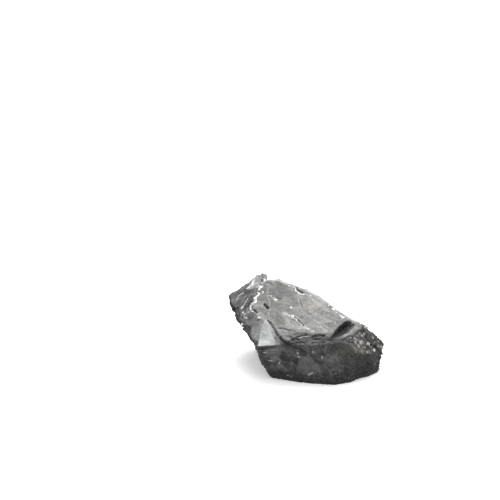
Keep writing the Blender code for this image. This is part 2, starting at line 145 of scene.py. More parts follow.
# Round patches: middle, reach. The dusty foot, the beige and the olive patch are the stone's own colour; the
# lip, its lower end, the back and left of the slab and the lower right corner are painted shade.
PATCHES = {
    "dusty_foot": ((-20, -54, 18), 24),
    "beige": ((9, 1, 62), 16),
    "olive": ((42, -52, 31), 15),
    "lip": ((46, -33, 45), 16),
    "low_lip": ((27, -45.5, 43), 15),
    "dull": ((-30, 10, 69), 52),
    "dark_corner": ((58, -45, 13), 36),
}
# Soft patches paler (above 0) or darker (below 0) than the stone round them: middle, reach, how much. Most are
# the stone's own tone; the darker lower right corner and lip below the pocket are painted shade, and the paler
# foot of the lower layer a painted highlight.
TONES = (
    ((-26.8, 26.2, 74.7), 15, -1), ((-27.7, 32.5, 77.5), 7, -1.2), ((-11.4, 9.6, 66.9), 13, -0.6),
    ((-9.2, -11.1, 58.7), 9, -0.8), ((-27.1, -25.1, 54), 10, -0.9), ((-40.2, -12.8, 60.4), 8, -0.6),
    ((5.6, 13.5, 67.7), 7, -0.4), ((11.3, 2.7, 62.6), 16, 1), ((13.8, -10.4, 57), 10, 0.6),
    ((18.9, -24.6, 50.5), 16, 1.2), ((-24.1, 6.6, 66.8), 8, 0.5), ((-24.7, -8.8, 61), 8, 0.4),
    ((-46.2, -0.5, 65.9), 8, 0.8), ((-3, 10.3, 66.6), 5, 0.5), ((-4, -30, 50), 9, 0.8),
    ((-17.3, -35.6, 48.5), 8, 0.6), ((23, -33.8, 46.4), 7, 0.5), ((-43, 22, 74), 10, -1),
    ((-48, 9, 69), 7, -0.6), ((-33.8, -2.3, 64.3), 9, -0.6), ((-14, 25.5, 73.8), 7, 0.4),
    ((28, -14, 54), 9, -0.3), ((0, -20, 54), 8, -0.5), ((-22, 18, 71), 9, -0.7),
    ((-17.5, -12.2, 59.1), 8, -0.6), ((-33, 14, 70.5), 9, -0.6), ((-24, -38, 48), 8, -0.4),
    ((-2.9, -8.9, 59), 8, 0.5), ((6, -22, 53), 8, 0.6), ((-21, 4, 66), 7, -0.4), ((-47.5, -49, 40.5), 9, 1),
    ((-42, -47, 41.5), 7, 0.4), ((-40.7, -51.4, 35), 7, 0.9), ((-33, -50.5, 34.5), 8, 0.8),
    ((-27.5, -49.5, 35), 6, 0.5), ((-24.5, -17, 57), 8, -0.6), ((-24.4, -37.5, 48.5), 7, -0.9),
    ((31, -46, 42.8), 7, -1), ((37, -41.5, 44), 8, -0.7), ((-25.7, -51.9, 26.6), 6, -1),
    ((-49.2, -51.4, 31.8), 7, -1), ((-44.6, -49.5, 18.2), 10, -0.9), ((-38.5, -47.4, 8.5), 12, -0.8),
    ((11.9, -58, 31.2), 5, -0.7), ((-12, -55, 40), 7, -0.4), ((-14.8, -55.7, 23.5), 5, -0.6),
    ((-36.7, -51.2, 31.2), 11, 0.8), ((-16, -54, 31), 10, 0.4), ((25, -57.3, 24.5), 17, 0.35),
    ((4, -56.2, 36.9), 12, 0.35), ((-24, -51.6, 15), 8, 0.4), ((-27.6, -52.2, 22.5), 3.5, 0.9),
    ((-27.5, -50.9, 16), 3.5, 0.9), ((-23, -51.2, 11.2), 4.5, 0.9), ((-16.4, -52.6, 5.8), 3, 0.8),
    ((-26.7, -51.7, 27.5), 4.5, -1), ((-18.7, -54.5, 25), 4, -0.9), ((-13.8, -56, 22.5), 3.5, -0.8),
    ((58, -40, 8), 12, -1), ((-47.3, -3.6, 64.9), 4.5, 0.9), ((-58.7, 6.8, 68.9), 8, 0.5),
    ((-61.8, -3.3, 63.6), 8, 0.4), ((-76, 12, 57), 9, -0.6),
)

# Chipped edges that catch the light: places along each, half width.
PALE_LINES = (
    (((-24.7, -13.2, 59.4), (-20, -14.6, 58), (-15.6, -17.6, 56.7), (-10.6, -22.1, 54), (-5.7, -26.9, 50.3),
      (1.2, -31.6, 48.8), (5, -35, 47.5)), 1),
    (((-36.5, 11.5, 69.8), (-33.5, 8.5, 68.4), (-31.5, 4.5, 66.4)), 0.7),
    (((-16.1, -3.4, 62.5), (-15.1, -4.7, 61.9)), 0.6),
    (((28, 2, 60.3), (31.8, -2.9, 58)), 0.6),
    (((34, -8, 55.8), (37, -10.5, 54.8)), 0.8),
)
# Bright grains on the slab, some of them painted glints: middle, reach.
GRAINS_AND_GLINTS = (
    ((-35.3, 10.5, 69.4), 1.6), ((-32.1, 6.4, 67.3), 2.2), ((-16.4, -4.5, 62.1), 2),
    ((-14.9, -16.2, 57.2), 2.2), ((-10.9, -20.7, 54.6), 2), ((-18.5, -15, 57.8), 1.4), ((-6.5, -26, 51), 1.6),
    ((0.5, -31, 49), 1.3), ((28.2, -1.1, 59), 2.4), ((33.1, -5.7, 56.7), 2), ((37, -12, 54.2), 2.4),
    ((35.4, -9.6, 55), 1.6), ((-16.6, 28.5, 75.3), 1.6), ((6.1, 15, 68.2), 1.5), ((-9.4, 22, 71), 1.4),
    ((24, 4.4, 61.6), 1.4),
)
# Thin lines a little paler than the slab: places along each, half width.
FAINT_LINES = (
    (((-39, 29.4, 77), (-39.7, 17.8, 71.9), (-38.8, 5.6, 67.1), (-38, -9.9, 61.6), (-38.8, -21.1, 56.9)), 0.5),
    (((-27.6, 36.1, 79), (-20.2, 31.3, 76.6), (-10.8, 26.2, 73.2), (-0.6, 17.5, 69.5), (9.5, 8.4, 65.2),
      (19.5, 0.9, 60.8)), 0.9),
    (((-2.7, 17.1, 68.8), (-5.1, 10.1, 66.7), (-4.5, 1.1, 63.2), (-1.6, -4.7, 60.8)), 0.5),
    (((-7.1, 11.5, 67.3), (-6.6, 0.9, 63.2), (-4.9, -9, 59), (-2, -18, 55)), 0.5),
    (((-24, 4, 66.5), (-12, -4, 62), (2, -13, 57)), 0.4),
    (((6, -18, 54.5), (14, -26, 50.8), (20, -33, 47.8)), 0.5),
)
# The broken edges of the raised layer, white as painted highlight where they catch the light: places along
# each, half width.
SEAM_HIGHLIGHTS = (
    (((-42.6, 34.3, 80.7), (-43.9, 30.7, 78.7), (-45.8, 25.7, 77.1), (-48.1, 20.7, 75.5),
      (-49.3, 18.8, 74.5)), 0.8),
    (((-50.8, 15.4, 72.5), (-49.5, 13.3, 71.6), (-52, 9.2, 70.1), (-54, 6.2, 69.9), (-53.1, 3.5, 68.6),
      (-55, -0.9, 66.6), (-56.8, -3.6, 65.6), (-58.3, -6.6, 64.3), (-58, -9.2, 63)), 0.75),
    (((-53, 8, 70), (-52.6, 3, 68.4), (-54.6, -0.5, 66.8)), 0.8),
    (((-54.4, 36.2, 79.3), (-55.5, 31.7, 76.2)), 1),
    (((-56.5, 31.4, 75.4), (-58.2, 31.1, 74.2), (-61.9, 28.3, 72.3)), 0.45),
    (((-45, 14.3, 71.9), (-43.9, 18, 72.9)), 0.45),
    (((-67.1, 3.9, 58.3), (-65.5, 4.9, 60.7)), 0.9),
    (((-65.5, 4.9, 60.7), (-63.9, 5.9, 62.6), (-60.8, 8.3, 66.7)), 0.35),
    (((-66, -1.3, 56.3), (-65.4, -2.6, 56)), 0.5),
    (((-63.9, -5.6, 55.6), (-63.2, -6.8, 55.4)), 0.55),
    (((-61.8, -9.4, 55.9), (-61.2, -9.6, 56.6)), 0.5),
    (((-64.9, -9.6, 53.8), (-64.3, -10, 53.6)), 0.5),
    (((-62.8, -10.9, 53.1), (-62, -11.2, 53.2)), 0.45),
    (((-60.6, -10.4, 58.8), (-58.2, -11.4, 60.8)), 0.3),
    (((-57.2, -13, 61.6), (-56.2, -13.6, 61.6)), 0.6),
    (((-73, 20, 62.5), (-70.4, 23.8, 66), (-64, 24, 69)), 0.3),
    (((-50.4, -21, 57.9), (-49.2, -22.2, 57.4)), 0.5),
    (((-10.8, 26.4, 73.4), (-9.6, 22.6, 71.2), (-6.8, 19.4, 69.7), (-1.6, 17.1, 69)), 0.4),
    (((-67.4, -9.2, 46.2), (-66.6, -10.6, 45.4)), 0.6),
)
# Larger pale grains in the broken end: middle, reach.
PALE_GRAINS = (
    ((59.9, -19.6, 45.4), 2.6), ((65.7, -15.5, 40.3), 2.2), ((44.3, -39.8, 41.8), 2.8),
    ((51, -31.3, 42.1), 2.2), ((58.6, -24.8, 40.8), 2.6), ((53.3, -35.7, 35.2), 3.2),
    ((48.3, -40.2, 37.4), 2.4), ((56.2, -32.8, 35.6), 2.2), ((51.3, -40.2, 33.6), 2.8),
    ((63.4, -27.5, 32.9), 2.6), ((62.4, -30, 31.4), 2.2), ((74.3, -20.4, 26.9), 2.6), ((78, -18.1, 24.3), 2.2),
    ((69.7, -29, 25.1), 2.8), ((66.8, -31.3, 27.3), 2.4), ((61.8, -36.8, 26.3), 2.6),
    ((69.1, -18.6, 34.8), 2.2),
)
# Single bright grains: two ends, half width.
SPECKS = (
    (((-10.9, -55.6, 31.6), (-10.9, -55.6, 31)), 0.5),
    (((-10.4, -56.1, 27.6), (-10.4, -56.1, 27)), 0.5),
    (((3.4, -56.8, 34.8), (3.4, -56.8, 34.2)), 0.4),
    (((12.4, -58.5, 27), (13.4, -58.5, 30)), 0.4),
    (((-0.2, -57.4, 9.6), (3, -57.4, 11.8)), 0.45),
    (((-46, -51.5, 31), (-43, -51.4, 31.2)), 0.4),
    (((-40.5, -50, 22.5), (-37, -50.2, 23)), 0.4),
    (((-30, -51.8, 18.8), (-28.6, -51.8, 20)), 0.4),
)
FRONT_SQUASH = (1.0, 0.3, 1.0)  # lines on the front keep to it by X and Z, and count this much of Y
TOP_SQUASH = (1.0, 1.0, 0.3)  # and those on top by X and Y
# Cracks and pits: places along each, half width, depth.
CRACKS = (
    (((-40.2, -23.3, 56), (-36.4, -29.3, 53), (-32.4, -36.3, 49.5), (-30, -41.8, 46),
      (-27, -48, 43)), 0.7, 0.9),
    (((-12.5, -17.1, 56.5), (-8.6, -21.8, 53.9), (-4.7, -26.7, 51.3)), 0.45, 0.9),
    (((-43.6, -0.8, 65.4), (-41.6, -3.2, 63.8), (-39.6, -6.2, 62.6)), 0.9, 2),
    (((-5.9, 9.1, 66.7), (-5.6, 3.1, 64.2), (-4.4, -1.9, 62.2)), 0.35, 0.4),
    (((-37.7, 9.9, 69), (-34.6, 10.2, 69)), 0.4, 0.5),
    (((-55, -11, 62.2), (-52, -14.4, 61.1)), 0.9, 1.6),
    (((-46, 32, 80), (-44.8, 30.6, 79.4)), 0.8, 1.2),
    (((-9.7, 26.3, 72.9), (-7.2, 23.3, 71.1), (-3.1, 19.8, 70.6)), 0.6, 1.2),
    (((-30.5, 8.6, 68.4), (-26.5, 8, 67.6)), 0.35, 0.5),
    (((-50.8, -22.6, 56.4), (-50, -23, 56.2)), 0.7, 0.8),
)
# The crack where the lower layer meets the front: places along it, half width, depth.
FRONT_CRACK = (
    (((-52, -53.5, 35.6), (-44.4, -52.3, 36.6), (-36.9, -51, 37.9), (-26, -49.6, 39.3), (-19.8, -52.3, 41),
      (-12.9, -53.4, 40)), 0.45, 0.5),
)
# The ends of the thin layers along the slab's front rim, wavy lines: places along each, half width, depth.
RIM_LINES = (
    (((-29.3, -33.6, 50.7), (-24.3, -33, 50.4), (-20.3, -35.3, 49.1), (-17, -34.8, 48.9)), 0.4, 0.7),
    (((-28.2, -45, 45.1), (-25.4, -50.1, 43.3), (-21.8, -51.6, 41.8), (-18.2, -52, 41.3),
      (-13.4, -52.1, 40.4)), 1.1, 0.8),
    (((-16.3, -47.7, 43.6), (-13.2, -44.8, 44.4), (-9.9, -42.3, 45), (-6.3, -40.6, 45.4),
      (-2, -40.1, 45.5)), 0.8, 0.8),
    (((-13.8, -45.5, 44), (-9.6, -45.6, 43.4)), 0.5, 0.5),
    (((-11.4, -49.5, 41.3), (-6.8, -49.7, 41.8), (-3.8, -50.5, 41.1)), 0.7, 0.8),
    (((4.5, -42.4, 44.4), (8.3, -39.4, 44.9), (12, -38.3, 44.9), (16.2, -38.9, 45.1)), 0.9, 0.8),
    (((5, -45.5, 42.7), (8, -44.6, 42.7), (10.9, -46.2, 42.4)), 0.8, 0.9),
    (((12.6, -43.7, 43.6), (15.2, -44.6, 43.7), (17.5, -47, 43.4), (20.5, -46.4, 43.2),
      (24.1, -41.5, 43.1)), 0.9, 1),
    (((4.1, -50.3, 40.7), (7.7, -50.7, 40.7), (11.3, -50.3, 41.6), (15.4, -51.4, 41.9)), 0.7, 0.8),
    (((-19.1, -43, 45.9), (-16.1, -43.7, 45.3)), 0.4, 0.4),
    (((-7.1, -33, 47.9), (-1.7, -33.9, 48)), 0.35, 0.4),
    (((-5.2, -43.2, 44.4), (-0.4, -43.7, 44.3)), 0.45, 0.5),
)
# Paler lines between them: places along each, half width.
RIM_STREAKS = (
    (((-12.7, -48.3, 42.5), (-9.7, -48.1, 42.1)), 0.8),
    (((-8.8, -44.1, 44.5), (-5.1, -42.4, 44.6), (-1.5, -41.9, 44.9)), 0.7),
    (((0.8, -44.4, 43.6), (4.6, -43.8, 43.3), (8.1, -43, 43.5)), 0.7),
    (((5.5, -47.6, 41.5), (9.3, -48.4, 41.8), (13.8, -48, 42.5)), 0.7),
    (((15.4, -41.9, 44.2), (19.6, -43.2, 43.8)), 0.7),
)
RIM_SQUASH = (1.0, 1.0, 0.6)  # lines on the rim count this much of Z
# Thin flakes darker than the slab: outline seen from above, how much.
DARK_FLAKES = (
    (((-30.2, 35.3), (-27.8, 36.3), (-25, 28.4), (-26.3, 26), (-28.6, 27.7)), 0.9),
    (((-36.9, 24.9), (-32.1, 26.3), (-25.7, 24.9), (-18.8, 26.2), (-19.3, 16.6), (-26.1, 13.2), (-31.3, 13.6),
      (-37.3, 15.5)), 0.5),
)
LOOSE, CALM = 0.45, 0.8  # how much less than outlines the other lines stray, and those of the rim
RIM_BACK, RIM_FRONT = -30.0, -47.0  # the rim starts at the first of these Y and is full at the second,
RIM_MIDDLE_X, RIM_HALF_LENGTH = 0.0, 30.0  # and fades along the stone from its middle
WANDER = ((2.2, 9.0), (0.9, 3.2), (0.5, 1.4))  # how far lines and outlines stray, over what length
WANDER_SEED = 2  # not 0, or they would stray another way each time

SURFACE_VOXEL = 0.5  # size of the dense copy's mesh
EASE_ROUNDS = 16  # takes the flat triangles of the solid off
POCKET_ROUNDS = 150  # eases the pocket's open side
FINE_ROUNDS = 4  # tells small ridges from small pits
SOLE_RISE = (0.3, 4.0)  # the relief fades in between these heights above the sole
MOST_TRIANGLES = 190000

FLOOR_RADIUS = 40.0  # metres

# Metres ahead of the box's front, left of its middle and above its foot; degrees down; millimetres.
CAMERA_AHEAD, CAMERA_LEFT, CAMERA_HEIGHT = 0.8966, 0.0587, 0.3978
CAMERA_PITCH, CAMERA_LENS = 16.0, 70.0

# ---------------------------------------------------------------- small helpers for node trees
def put(socket, value):
    """Links the socket to another node's output or to the attribute of this name, or gives it its value."""
    if isinstance(value, str) and socket.type != "STRING":
        value = attribute(socket.id_data, value)
    if isinstance(value, bpy.types.NodeSocket):
        socket.id_data.links.new(value, socket)
    else:
        socket.default_value = value


def add(tree, kind, inputs=None, **settings):
    """A new node of this kind, with its settings made first and then its inputs given."""
    node = tree.nodes.new(kind)
    for name, value in settings.items():
        setattr(node, name, value)
    for key, value in (inputs or {}).items():
        put(node.inputs[key], value)
    return node


def attribute(tree, name):
    """The number stored on the mesh under this name."""
    if tree.bl_idname == "GeometryNodeTree":
        node = add(tree, "GeometryNodeInputNamedAttribute", {"Name": name}, data_type="FLOAT")
        return node.outputs["Attribute"]
    return add(tree, "ShaderNodeAttribute", attribute_name=name, attribute_type="GEOMETRY").outputs["Fac"]


def in_use(sockets):
    """The one of a node's outputs that its settings leave in use."""
    return next(socket for socket in sockets if socket.enabled)


def calc(tree, operation, *values):
    node = add(tree, "ShaderNodeMath", operation=operation)
    for socket, value in zip(node.inputs, values):
        put(socket, value)
    return node.outputs[0]


def chain(tree, operation, first, *others):
    """The operation on all the values, one after another."""
    for value in others:
        first = calc(tree, operation, first, value)
    return first


def product(tree, *values):
    return chain(tree, "MULTIPLY", *values)


def sum_of(tree, *rows):
    """The sum of the rows, each of them the product of its values."""
    return chain(tree, "ADD", *(product(tree, *row) for row in rows))


def rest(tree, share):
    return calc(tree, "SUBTRACT", 1.0, share)


def vector(tree, operation, *values):
    node = add(tree, "ShaderNodeVectorMath", operation=operation)
    sockets = [node.inputs[0], node.inputs["Scale"]] if operation == "SCALE" else node.inputs
    for socket, value in zip(sockets, values):
        put(socket, value)
    return node.outputs["Value" if operation == "DOT_PRODUCT" else "Vector"]


def ramp(tree, value, low, high, start=0.0, end=1.0):
    """Start where the value is at low, end where it is at high, smooth in between."""
    places = {"Value": value, "From Min": low, "From Max": high, "To Min": start, "To Max": end}
    return add(tree, "ShaderNodeMapRange", places, interpolation_type="SMOOTHSTEP").outputs["Result"]


def noise_of(tree, point, size, detail=3.0, roughness=0.5):
    """Soft noise with bumps of this size: Fac, a number from 0 to 1, and Color."""
    places = {"Vector": point, "Scale": 1.0 / (size * MM), "Detail": detail, "Roughness": roughness}
    return add(tree, "ShaderNodeTexNoise", places).outputs


def height_of(tree, point):
    return add(tree, "ShaderNodeSeparateXYZ", {"Vector": point}).outputs["Z"]


def shaken(tree, point, shake, reach):
    """The point, shifted by the colour of a noise, by up to half the reach in metres each way."""
    shift = vector(tree, "SUBTRACT", shake["Color"], (0.5, 0.5, 0.5))
    return vector(tree, "ADD", point, vector(tree, "SCALE", shift, reach))


def drawn_out(tree, point, way, stretch):
    """The point, squeezed along a direction: noise on it runs that way, or across it if stretch is below 1."""
    along = calc(tree, "MULTIPLY", vector(tree, "DOT_PRODUCT", point, tuple(way)), 1.0 / stretch - 1.0)
    return vector(tree, "ADD", point, vector(tree, "SCALE", tuple(way), along))


# ---------------------------------------------------------------- the regions, as attributes of the mesh
def vectors_of(mesh, name="co"):
    """The places of the mesh's points, or their normals."""
    values = np.empty(len(mesh.vertices) * 3, np.float32)
    mesh.vertices.foreach_get(name, values)
    return values.reshape(-1, 3)


def set_places(mesh, places):
    mesh.vertices.foreach_set("co", places.reshape(-1))
    mesh.update()


def to_line(places, start, end):
    """How far each place lies from the straight line between two others."""
    along = end - start
    share = np.clip(((places - start) @ along) / (along @ along), 0.0, 1.0)
    return np.linalg.norm(places - start - share[:, None] * along, axis=1)


def inside(places, outline, soft):
    """How far inside the outline each place lies, by its first two columns: 0 outside, 1 well inside."""
    places, corners = places[:, :2], np.array(outline)
    crossings = np.zeros(len(places), bool)
    nearest = np.full(len(places), np.inf)
    for start, end in zip(corners, np.roll(corners, -1, axis=0)):
        nearest = np.minimum(nearest, to_line(places, start, end))
        beside = (start[1] > places[:, 1]) != (end[1] > places[:, 1])
        along = end - start
        if along[1]:
            crossing = start[0] + along[0] * (places[:, 1] - start[1]) / along[1]
            crossings ^= beside & (places[:, 0] < crossing)
    signed = np.where(crossings, nearest, -nearest)
    return np.clip(0.5 + 0.5 * signed / soft, 0.0, 1.0)


def near(places, middle, reach):
    """1 at the middle, 0 beyond the reach."""
    share = np.clip(np.linalg.norm(places - np.array(middle), axis=1) / reach, 0.0, 1.0)
    return (1.0 - share * share) ** 2


def near_any(places, grains):
    """1 in the middle of any of the grains (middle, reach), 0 beyond them all."""
    return np.max([near(places, middle, reach) for middle, reach in grains], axis=0)


def distance_to(places, stops, squash=TOP_SQUASH):
    """How far each place lies from the line through the stops."""
    places, stops = places * np.array(squash), np.array(stops) * np.array(squash)
    return np.min([to_line(places, start, end) for start, end in zip(stops[:-1], stops[1:])], axis=0)


def along_line(places, stops, half_width, squash=TOP_SQUASH):
    """1 on the line through the stops, 0 two half widths away."""
    return np.clip(2.0 - distance_to(places, stops, squash) / half_width, 0.0, 1.0)


def widest(places, lines, squash=TOP_SQUASH):
    """The share of the lines (stops, half width) at each place."""
    return np.max([along_line(places, stops, half_width, squash) for stops, half_width in lines], axis=0)


def deepest(places, lines, squash=TOP_SQUASH):
    """The share and the depth of the lines (stops, half width, depth) at each place."""
    shares = [along_line(places, stops, half_width, squash) for stops, half_width, _ in lines]
    depths = [share * depth for share, (_, _, depth) in zip(shares, lines)]
    return np.max(shares, axis=0), np.max(depths, axis=0)


def fade(values, start, end, least=0.0):
    """The least before start, 1 from end on, even in between."""
    return np.clip((values - start) / (end - start), least, 1.0)


def stray(places):
    """The same places, each shifted a little, so that no line or outline runs straight."""
    noise.seed_set(WANDER_SEED)
    bent = places.copy()
    for amount, length in WANDER:
        bent += amount * np.array([noise.noise_vector(place / length) for place in places])
    return bent


def narrow_pocket(stone):
    """Fills the bulge of the pocket's steep side up to the slab."""
    places = vectors_of(stone.data) / MM
    across, along, height = SLAB_PLANE
    to_slab = height + across * places[:, 0] + along * places[:, 1] - places[:, 2]
    upper = places[:, 2] > POCKET_FOOT - POCKET_FADE
    places[:, 2] += inside(places, POCKET_BULGE, 0.7) * np.maximum(to_slab, 0.0) * upper
    set_places(stone.data, places * MM)


def mark_regions(stone):
    """Stores where the slab, the layers, the crest and the broken end are, each as an attribute from 0 to 1."""
    mesh = stone.data
    places, normals = (vectors_of(mesh, name).astype(float) for name in ("co", "normal"))
    places /= MM
    x, y, z = places.T
    bent = stray(places)

    def partly(kept):
        """The places with this share of their straying left out."""
        return kept * places + (1.0 - kept) * bent

    loose, calm = partly(LOOSE), partly(CALM)
    level, up = fade(normals @ np.array(BEDDING), 0.6, 0.9), fade(normals[:, 2], 0.2, 0.7)
    front = fade(-normals[:, 1], 0.6, 0.9) * (y < FRONT_Y)
    above = fade(z, CHEEK_FOOT, CHEEK_FOOT + CHEEK_FADE)
    ahead = fade(y, BROKEN_BACK, BROKEN_BACK - BROKEN_FADE)
    slab = inside(bent, SLAB, 1.2) * level
    cheek = inside(bent, CHEEK, 2.0) * above
    raised = inside(bent, RAISED_LAYER, 1.5) * above * (0.4 + 0.6 * up)
    tip = np.minimum(2.0 * near(places, *HORN_TIP), 1.0)
    pocket = inside(places, POCKET, 1.5) * fade(z, POCKET_FOOT, POCKET_FOOT + POCKET_FADE)
    from_wall, from_lip = distance_to(places, POCKET_WALL), distance_to(places, POCKET_LIP)
    out = from_wall / (from_wall + from_lip)
    pale, faint, seam = (widest(loose, lines) * up for lines in (PALE_LINES, FAINT_LINES, SEAM_HIGHLIGHTS))
    tone = sum(most * near(bent, middle, reach) for middle, reach, most in TONES)
    crack, crack_depth = deepest(loose, CRACKS)
    front_crack, front_depth = deepest(calm, FRONT_CRACK)
    rim_line, rim_depth = deepest(calm, RIM_LINES, RIM_SQUASH)
    beside = fade(np.abs(x - RIM_MIDDLE_X), RIM_HALF_LENGTH, 0.0)
    regions = {name: near(bent, middle, reach) for name, (middle, reach) in PATCHES.items()} | {
        "slab": slab,
        "lower_layer": inside(partly(0.7), LOWER_LAYER, 0.6) * up,
        "lower_side": fade(x - LOWER_EDGE_SLOPE * y, LOWER_EDGE_X, LOWER_EDGE_X + 2.5),
        "cheek": cheek,
        "step": inside(places, STEP, 0.8) * fade(z, STEP_FOOT, STEP_FOOT + STEP_FADE),
        "faint": faint,
        "left_side": fade(-normals[:, 0], 0.62, 0.82) * (1.0 - np.maximum(cheek, raised)),
        "front": front,
        "crest": inside(bent, CREST, 1.0) * up,
        "raised_layer": raised,
        "broken_end": inside(bent[:, (0, 2)], BROKEN_END, 3.0) * ahead * (1.0 - slab),
        "faded": fade(x, FADED_START, FADED_END),
        "pale_grain": near_any(loose, PALE_GRAINS),
        "back_edge": along_line(places, BACK_EDGE, 2.5),
        "back_line": along_line(calm, BACK_EDGE, 0.7),
        "bright_grain": near_any(loose, GRAINS_AND_GLINTS) * up,
        "dark_edge": inside(loose, PAINTED_SHADE_LEFT_EDGE, 0.8),
        "smooth_patch": inside(partly(0.6)[:, (0, 2)], SMOOTH_PATCH, 1.2) * front,
        "pocket": pocket,
        "pocket_side": inside(places, POCKET, 3.0) * fade(from_wall, 2.0, 6.0) * above,
        "pocket_floor": pocket * np.clip(1.8 * out - 0.7, 0.0, 1.0) * fade(x, POCKET_SHADED, POCKET_LIT, 0.1),
        "pocket_wall": pocket * np.clip(1.1 - 1.3 * out, 0.0, 1.0),
        "horn": np.maximum(inside(partly(0.5), HORN, 1.0) * up, tip),
        "rim": fade(y, RIM_BACK, RIM_FRONT) * np.sqrt(beside) * level,
        "rim_line": rim_line,
        "rim_streak": widest(calm, RIM_STREAKS, RIM_SQUASH),
        "dark_flake": np.max([most * inside(calm, outline, 0.5) for outline, most in DARK_FLAKES], axis=0) * up,
        "pale": pale,
        "seam": seam,
        "speck": widest(loose, SPECKS, FRONT_SQUASH) * front,
        "paler": np.clip(tone, 0.0, 1.0),
        "darker": np.clip(-tone, 0.0, 1.0),
        "crack": np.maximum(crack * up, front_crack),
        "up": up,
        "sunk": np.maximum(np.maximum(crack_depth * up, rim_depth), front_depth) * MM,
    }
    for name, share in regions.items():
        mesh.attributes.new(name, "FLOAT", "POINT").data.foreach_set("value", share.astype(np.float32))


# ---------------------------------------------------------------- relief, by Geometry Nodes
SURFACE_SIZES = {
    # name: metres
    "Large face": 0.017,
    "Large face height": 0.0016,
    "Small face": 0.0058,
    "Small face height": 0.0009,
    "Grain": 0.0024,
    "Grain height": 0.0008,
    "Layer pitch": 0.0021,
    "Layer height": 0.0009,
    "Flake height": 0.00035,
    "Rim wave height": 0.0013,
    "Dimple depth": 0.00022,
    "Edge chip depth": 0.0014,
}
# How far the surface stands out over its blurred copy, in metres, where each of these starts and is full.
EDGE, HOLLOW, FLAT = (0.00015, 0.0009), (-0.0001, -0.0009), (0.00045, 0.00022)
RIDGE, PIT = (0.00004, 0.0002), (-0.00004, -0.0002)

CRYSTAL_SIZES = {
    # name: per square metre, or metres
    "Crystals per area": 150000.0,
    "Smallest": 0.0004,
    "Largest": 0.0014,
}
CRYSTAL_BLOCK = (1.4, 1.4, 1.4)  # a crystal's sides before it takes its size,
LEAST_SHAPE, MOST_SHAPE = (0.5, 0.5, 0.5), (1.2, 1.2, 1.0)  # its shape between these two,
NO_TURN, WHOLE_TURN = (0.0, 0.0, 0.0), (6.28, 6.28, 6.28)  # and how it's turned, in radians
PLACE_SEED, SIZE_SEED, SHAPE_SEED, TURN_SEED = 7, 3, 4, 5


def split_faces(tree, point, size, height):
    """Height of a patchwork of flat, tilted faces of about this size, as stone splits."""
    scale = calc(tree, "DIVIDE", 1.0, size)
    cells = add(tree, "ShaderNodeTexVoronoi", {"Vector": point, "Scale": scale}).outputs
    tilt = vector(tree, "MULTIPLY_ADD", cells["Color"], (2.0, 2.0, 2.0), (-1.0, -1.0, -1.0))
    offset = vector(tree, "SUBTRACT", point, cells["Position"])
    slope = calc(tree, "DIVIDE", vector(tree, "DOT_PRODUCT", offset, tilt), size)
    return calc(tree, "MULTIPLY", slope, height)


def flake_steps(tree, point, size, count, height):
    """Height of thin flakes that end one behind another: level, with a short drop between them."""
    field = calc(tree, "MULTIPLY", noise_of(tree, point, size, 4.0)["Fac"], count)
    steps = calc(tree, "ADD", calc(tree, "FLOOR", field), ramp(tree, calc(tree, "FRACT", field), 0.8, 1.0))
    return calc(tree, "MULTIPLY", calc(tree, "SUBTRACT", steps, 0.5 * count), height)


def layer_ends(tree, point, pitch, height):
    """Height of the ends of thin layers, each of which stands out by its own amount."""
    wander = noise_of(tree, point, 25.0, 4.0)["Fac"]
    depth = calc(tree, "DIVIDE", vector(tree, "DOT_PRODUCT", point, tuple(BEDDING)), pitch)
    layer = calc(tree, "MULTIPLY_ADD", wander, 3.0, depth)
    stand = add(tree, "ShaderNodeTexNoise", {"W": layer, "Scale": 1.0, "Detail": 2.0}, noise_dimensions="1D")
    return calc(tree, "MULTIPLY", ramp(tree, stand.outputs["Fac"], 0.35, 0.65, -0.5, 0.5), height)


def ripples(tree, point, size, detail, height):
    """Height of soft ripples, as far up as down."""
    swell = calc(tree, "SUBTRACT", noise_of(tree, point, size, detail)["Fac"], 0.5)
    return calc(tree, "MULTIPLY", swell, height)


def between(tree, share, first, second):
    """The place at this share of the way from the first to the second."""
    return vector(tree, "ADD", first, vector(tree, "SCALE", vector(tree, "SUBTRACT", second, first), share))


def new_tree(name, sizes):
    """A tree for a modifier that takes a mesh and these sizes, what it is given, and the points' places."""
    tree = bpy.data.node_groups.new(name, "GeometryNodeTree")
    tree.is_modifier = True
    tree.interface.new_socket("Geometry", in_out="INPUT", socket_type="NodeSocketGeometry")
    for title, size in sizes.items():
        tree.interface.new_socket(title, in_out="INPUT", socket_type="NodeSocketFloat").default_value = size
    tree.interface.new_socket("Geometry", in_out="OUTPUT", socket_type="NodeSocketGeometry")
    return tree, add(tree, "NodeGroupInput").outputs, add(tree, "GeometryNodeInputPosition").outputs[0]


def end_tree(tree, geometry, material):
    whole = add(tree, "GeometryNodeRealizeInstances", {"Geometry": geometry}).outputs["Geometry"]
    finish = add(tree, "GeometryNodeSetMaterial", {"Geometry": whole, "Material": material})
    add(tree, "NodeGroupOutput", {"Geometry": finish.outputs["Geometry"]})
    return tree


def keep_shares(tree, geometry, **shares):
    """The geometry with these shares, from 0 to 1, stored on its points under their names."""
    for name, share in shares.items():
        places = {"Geometry": geometry, "Name": name, "Value": share}
        keeper = add(tree, "GeometryNodeStoreNamedAttribute", places, data_type="FLOAT", domain="POINT")
        geometry = keeper.outputs["Geometry"]
    return geometry


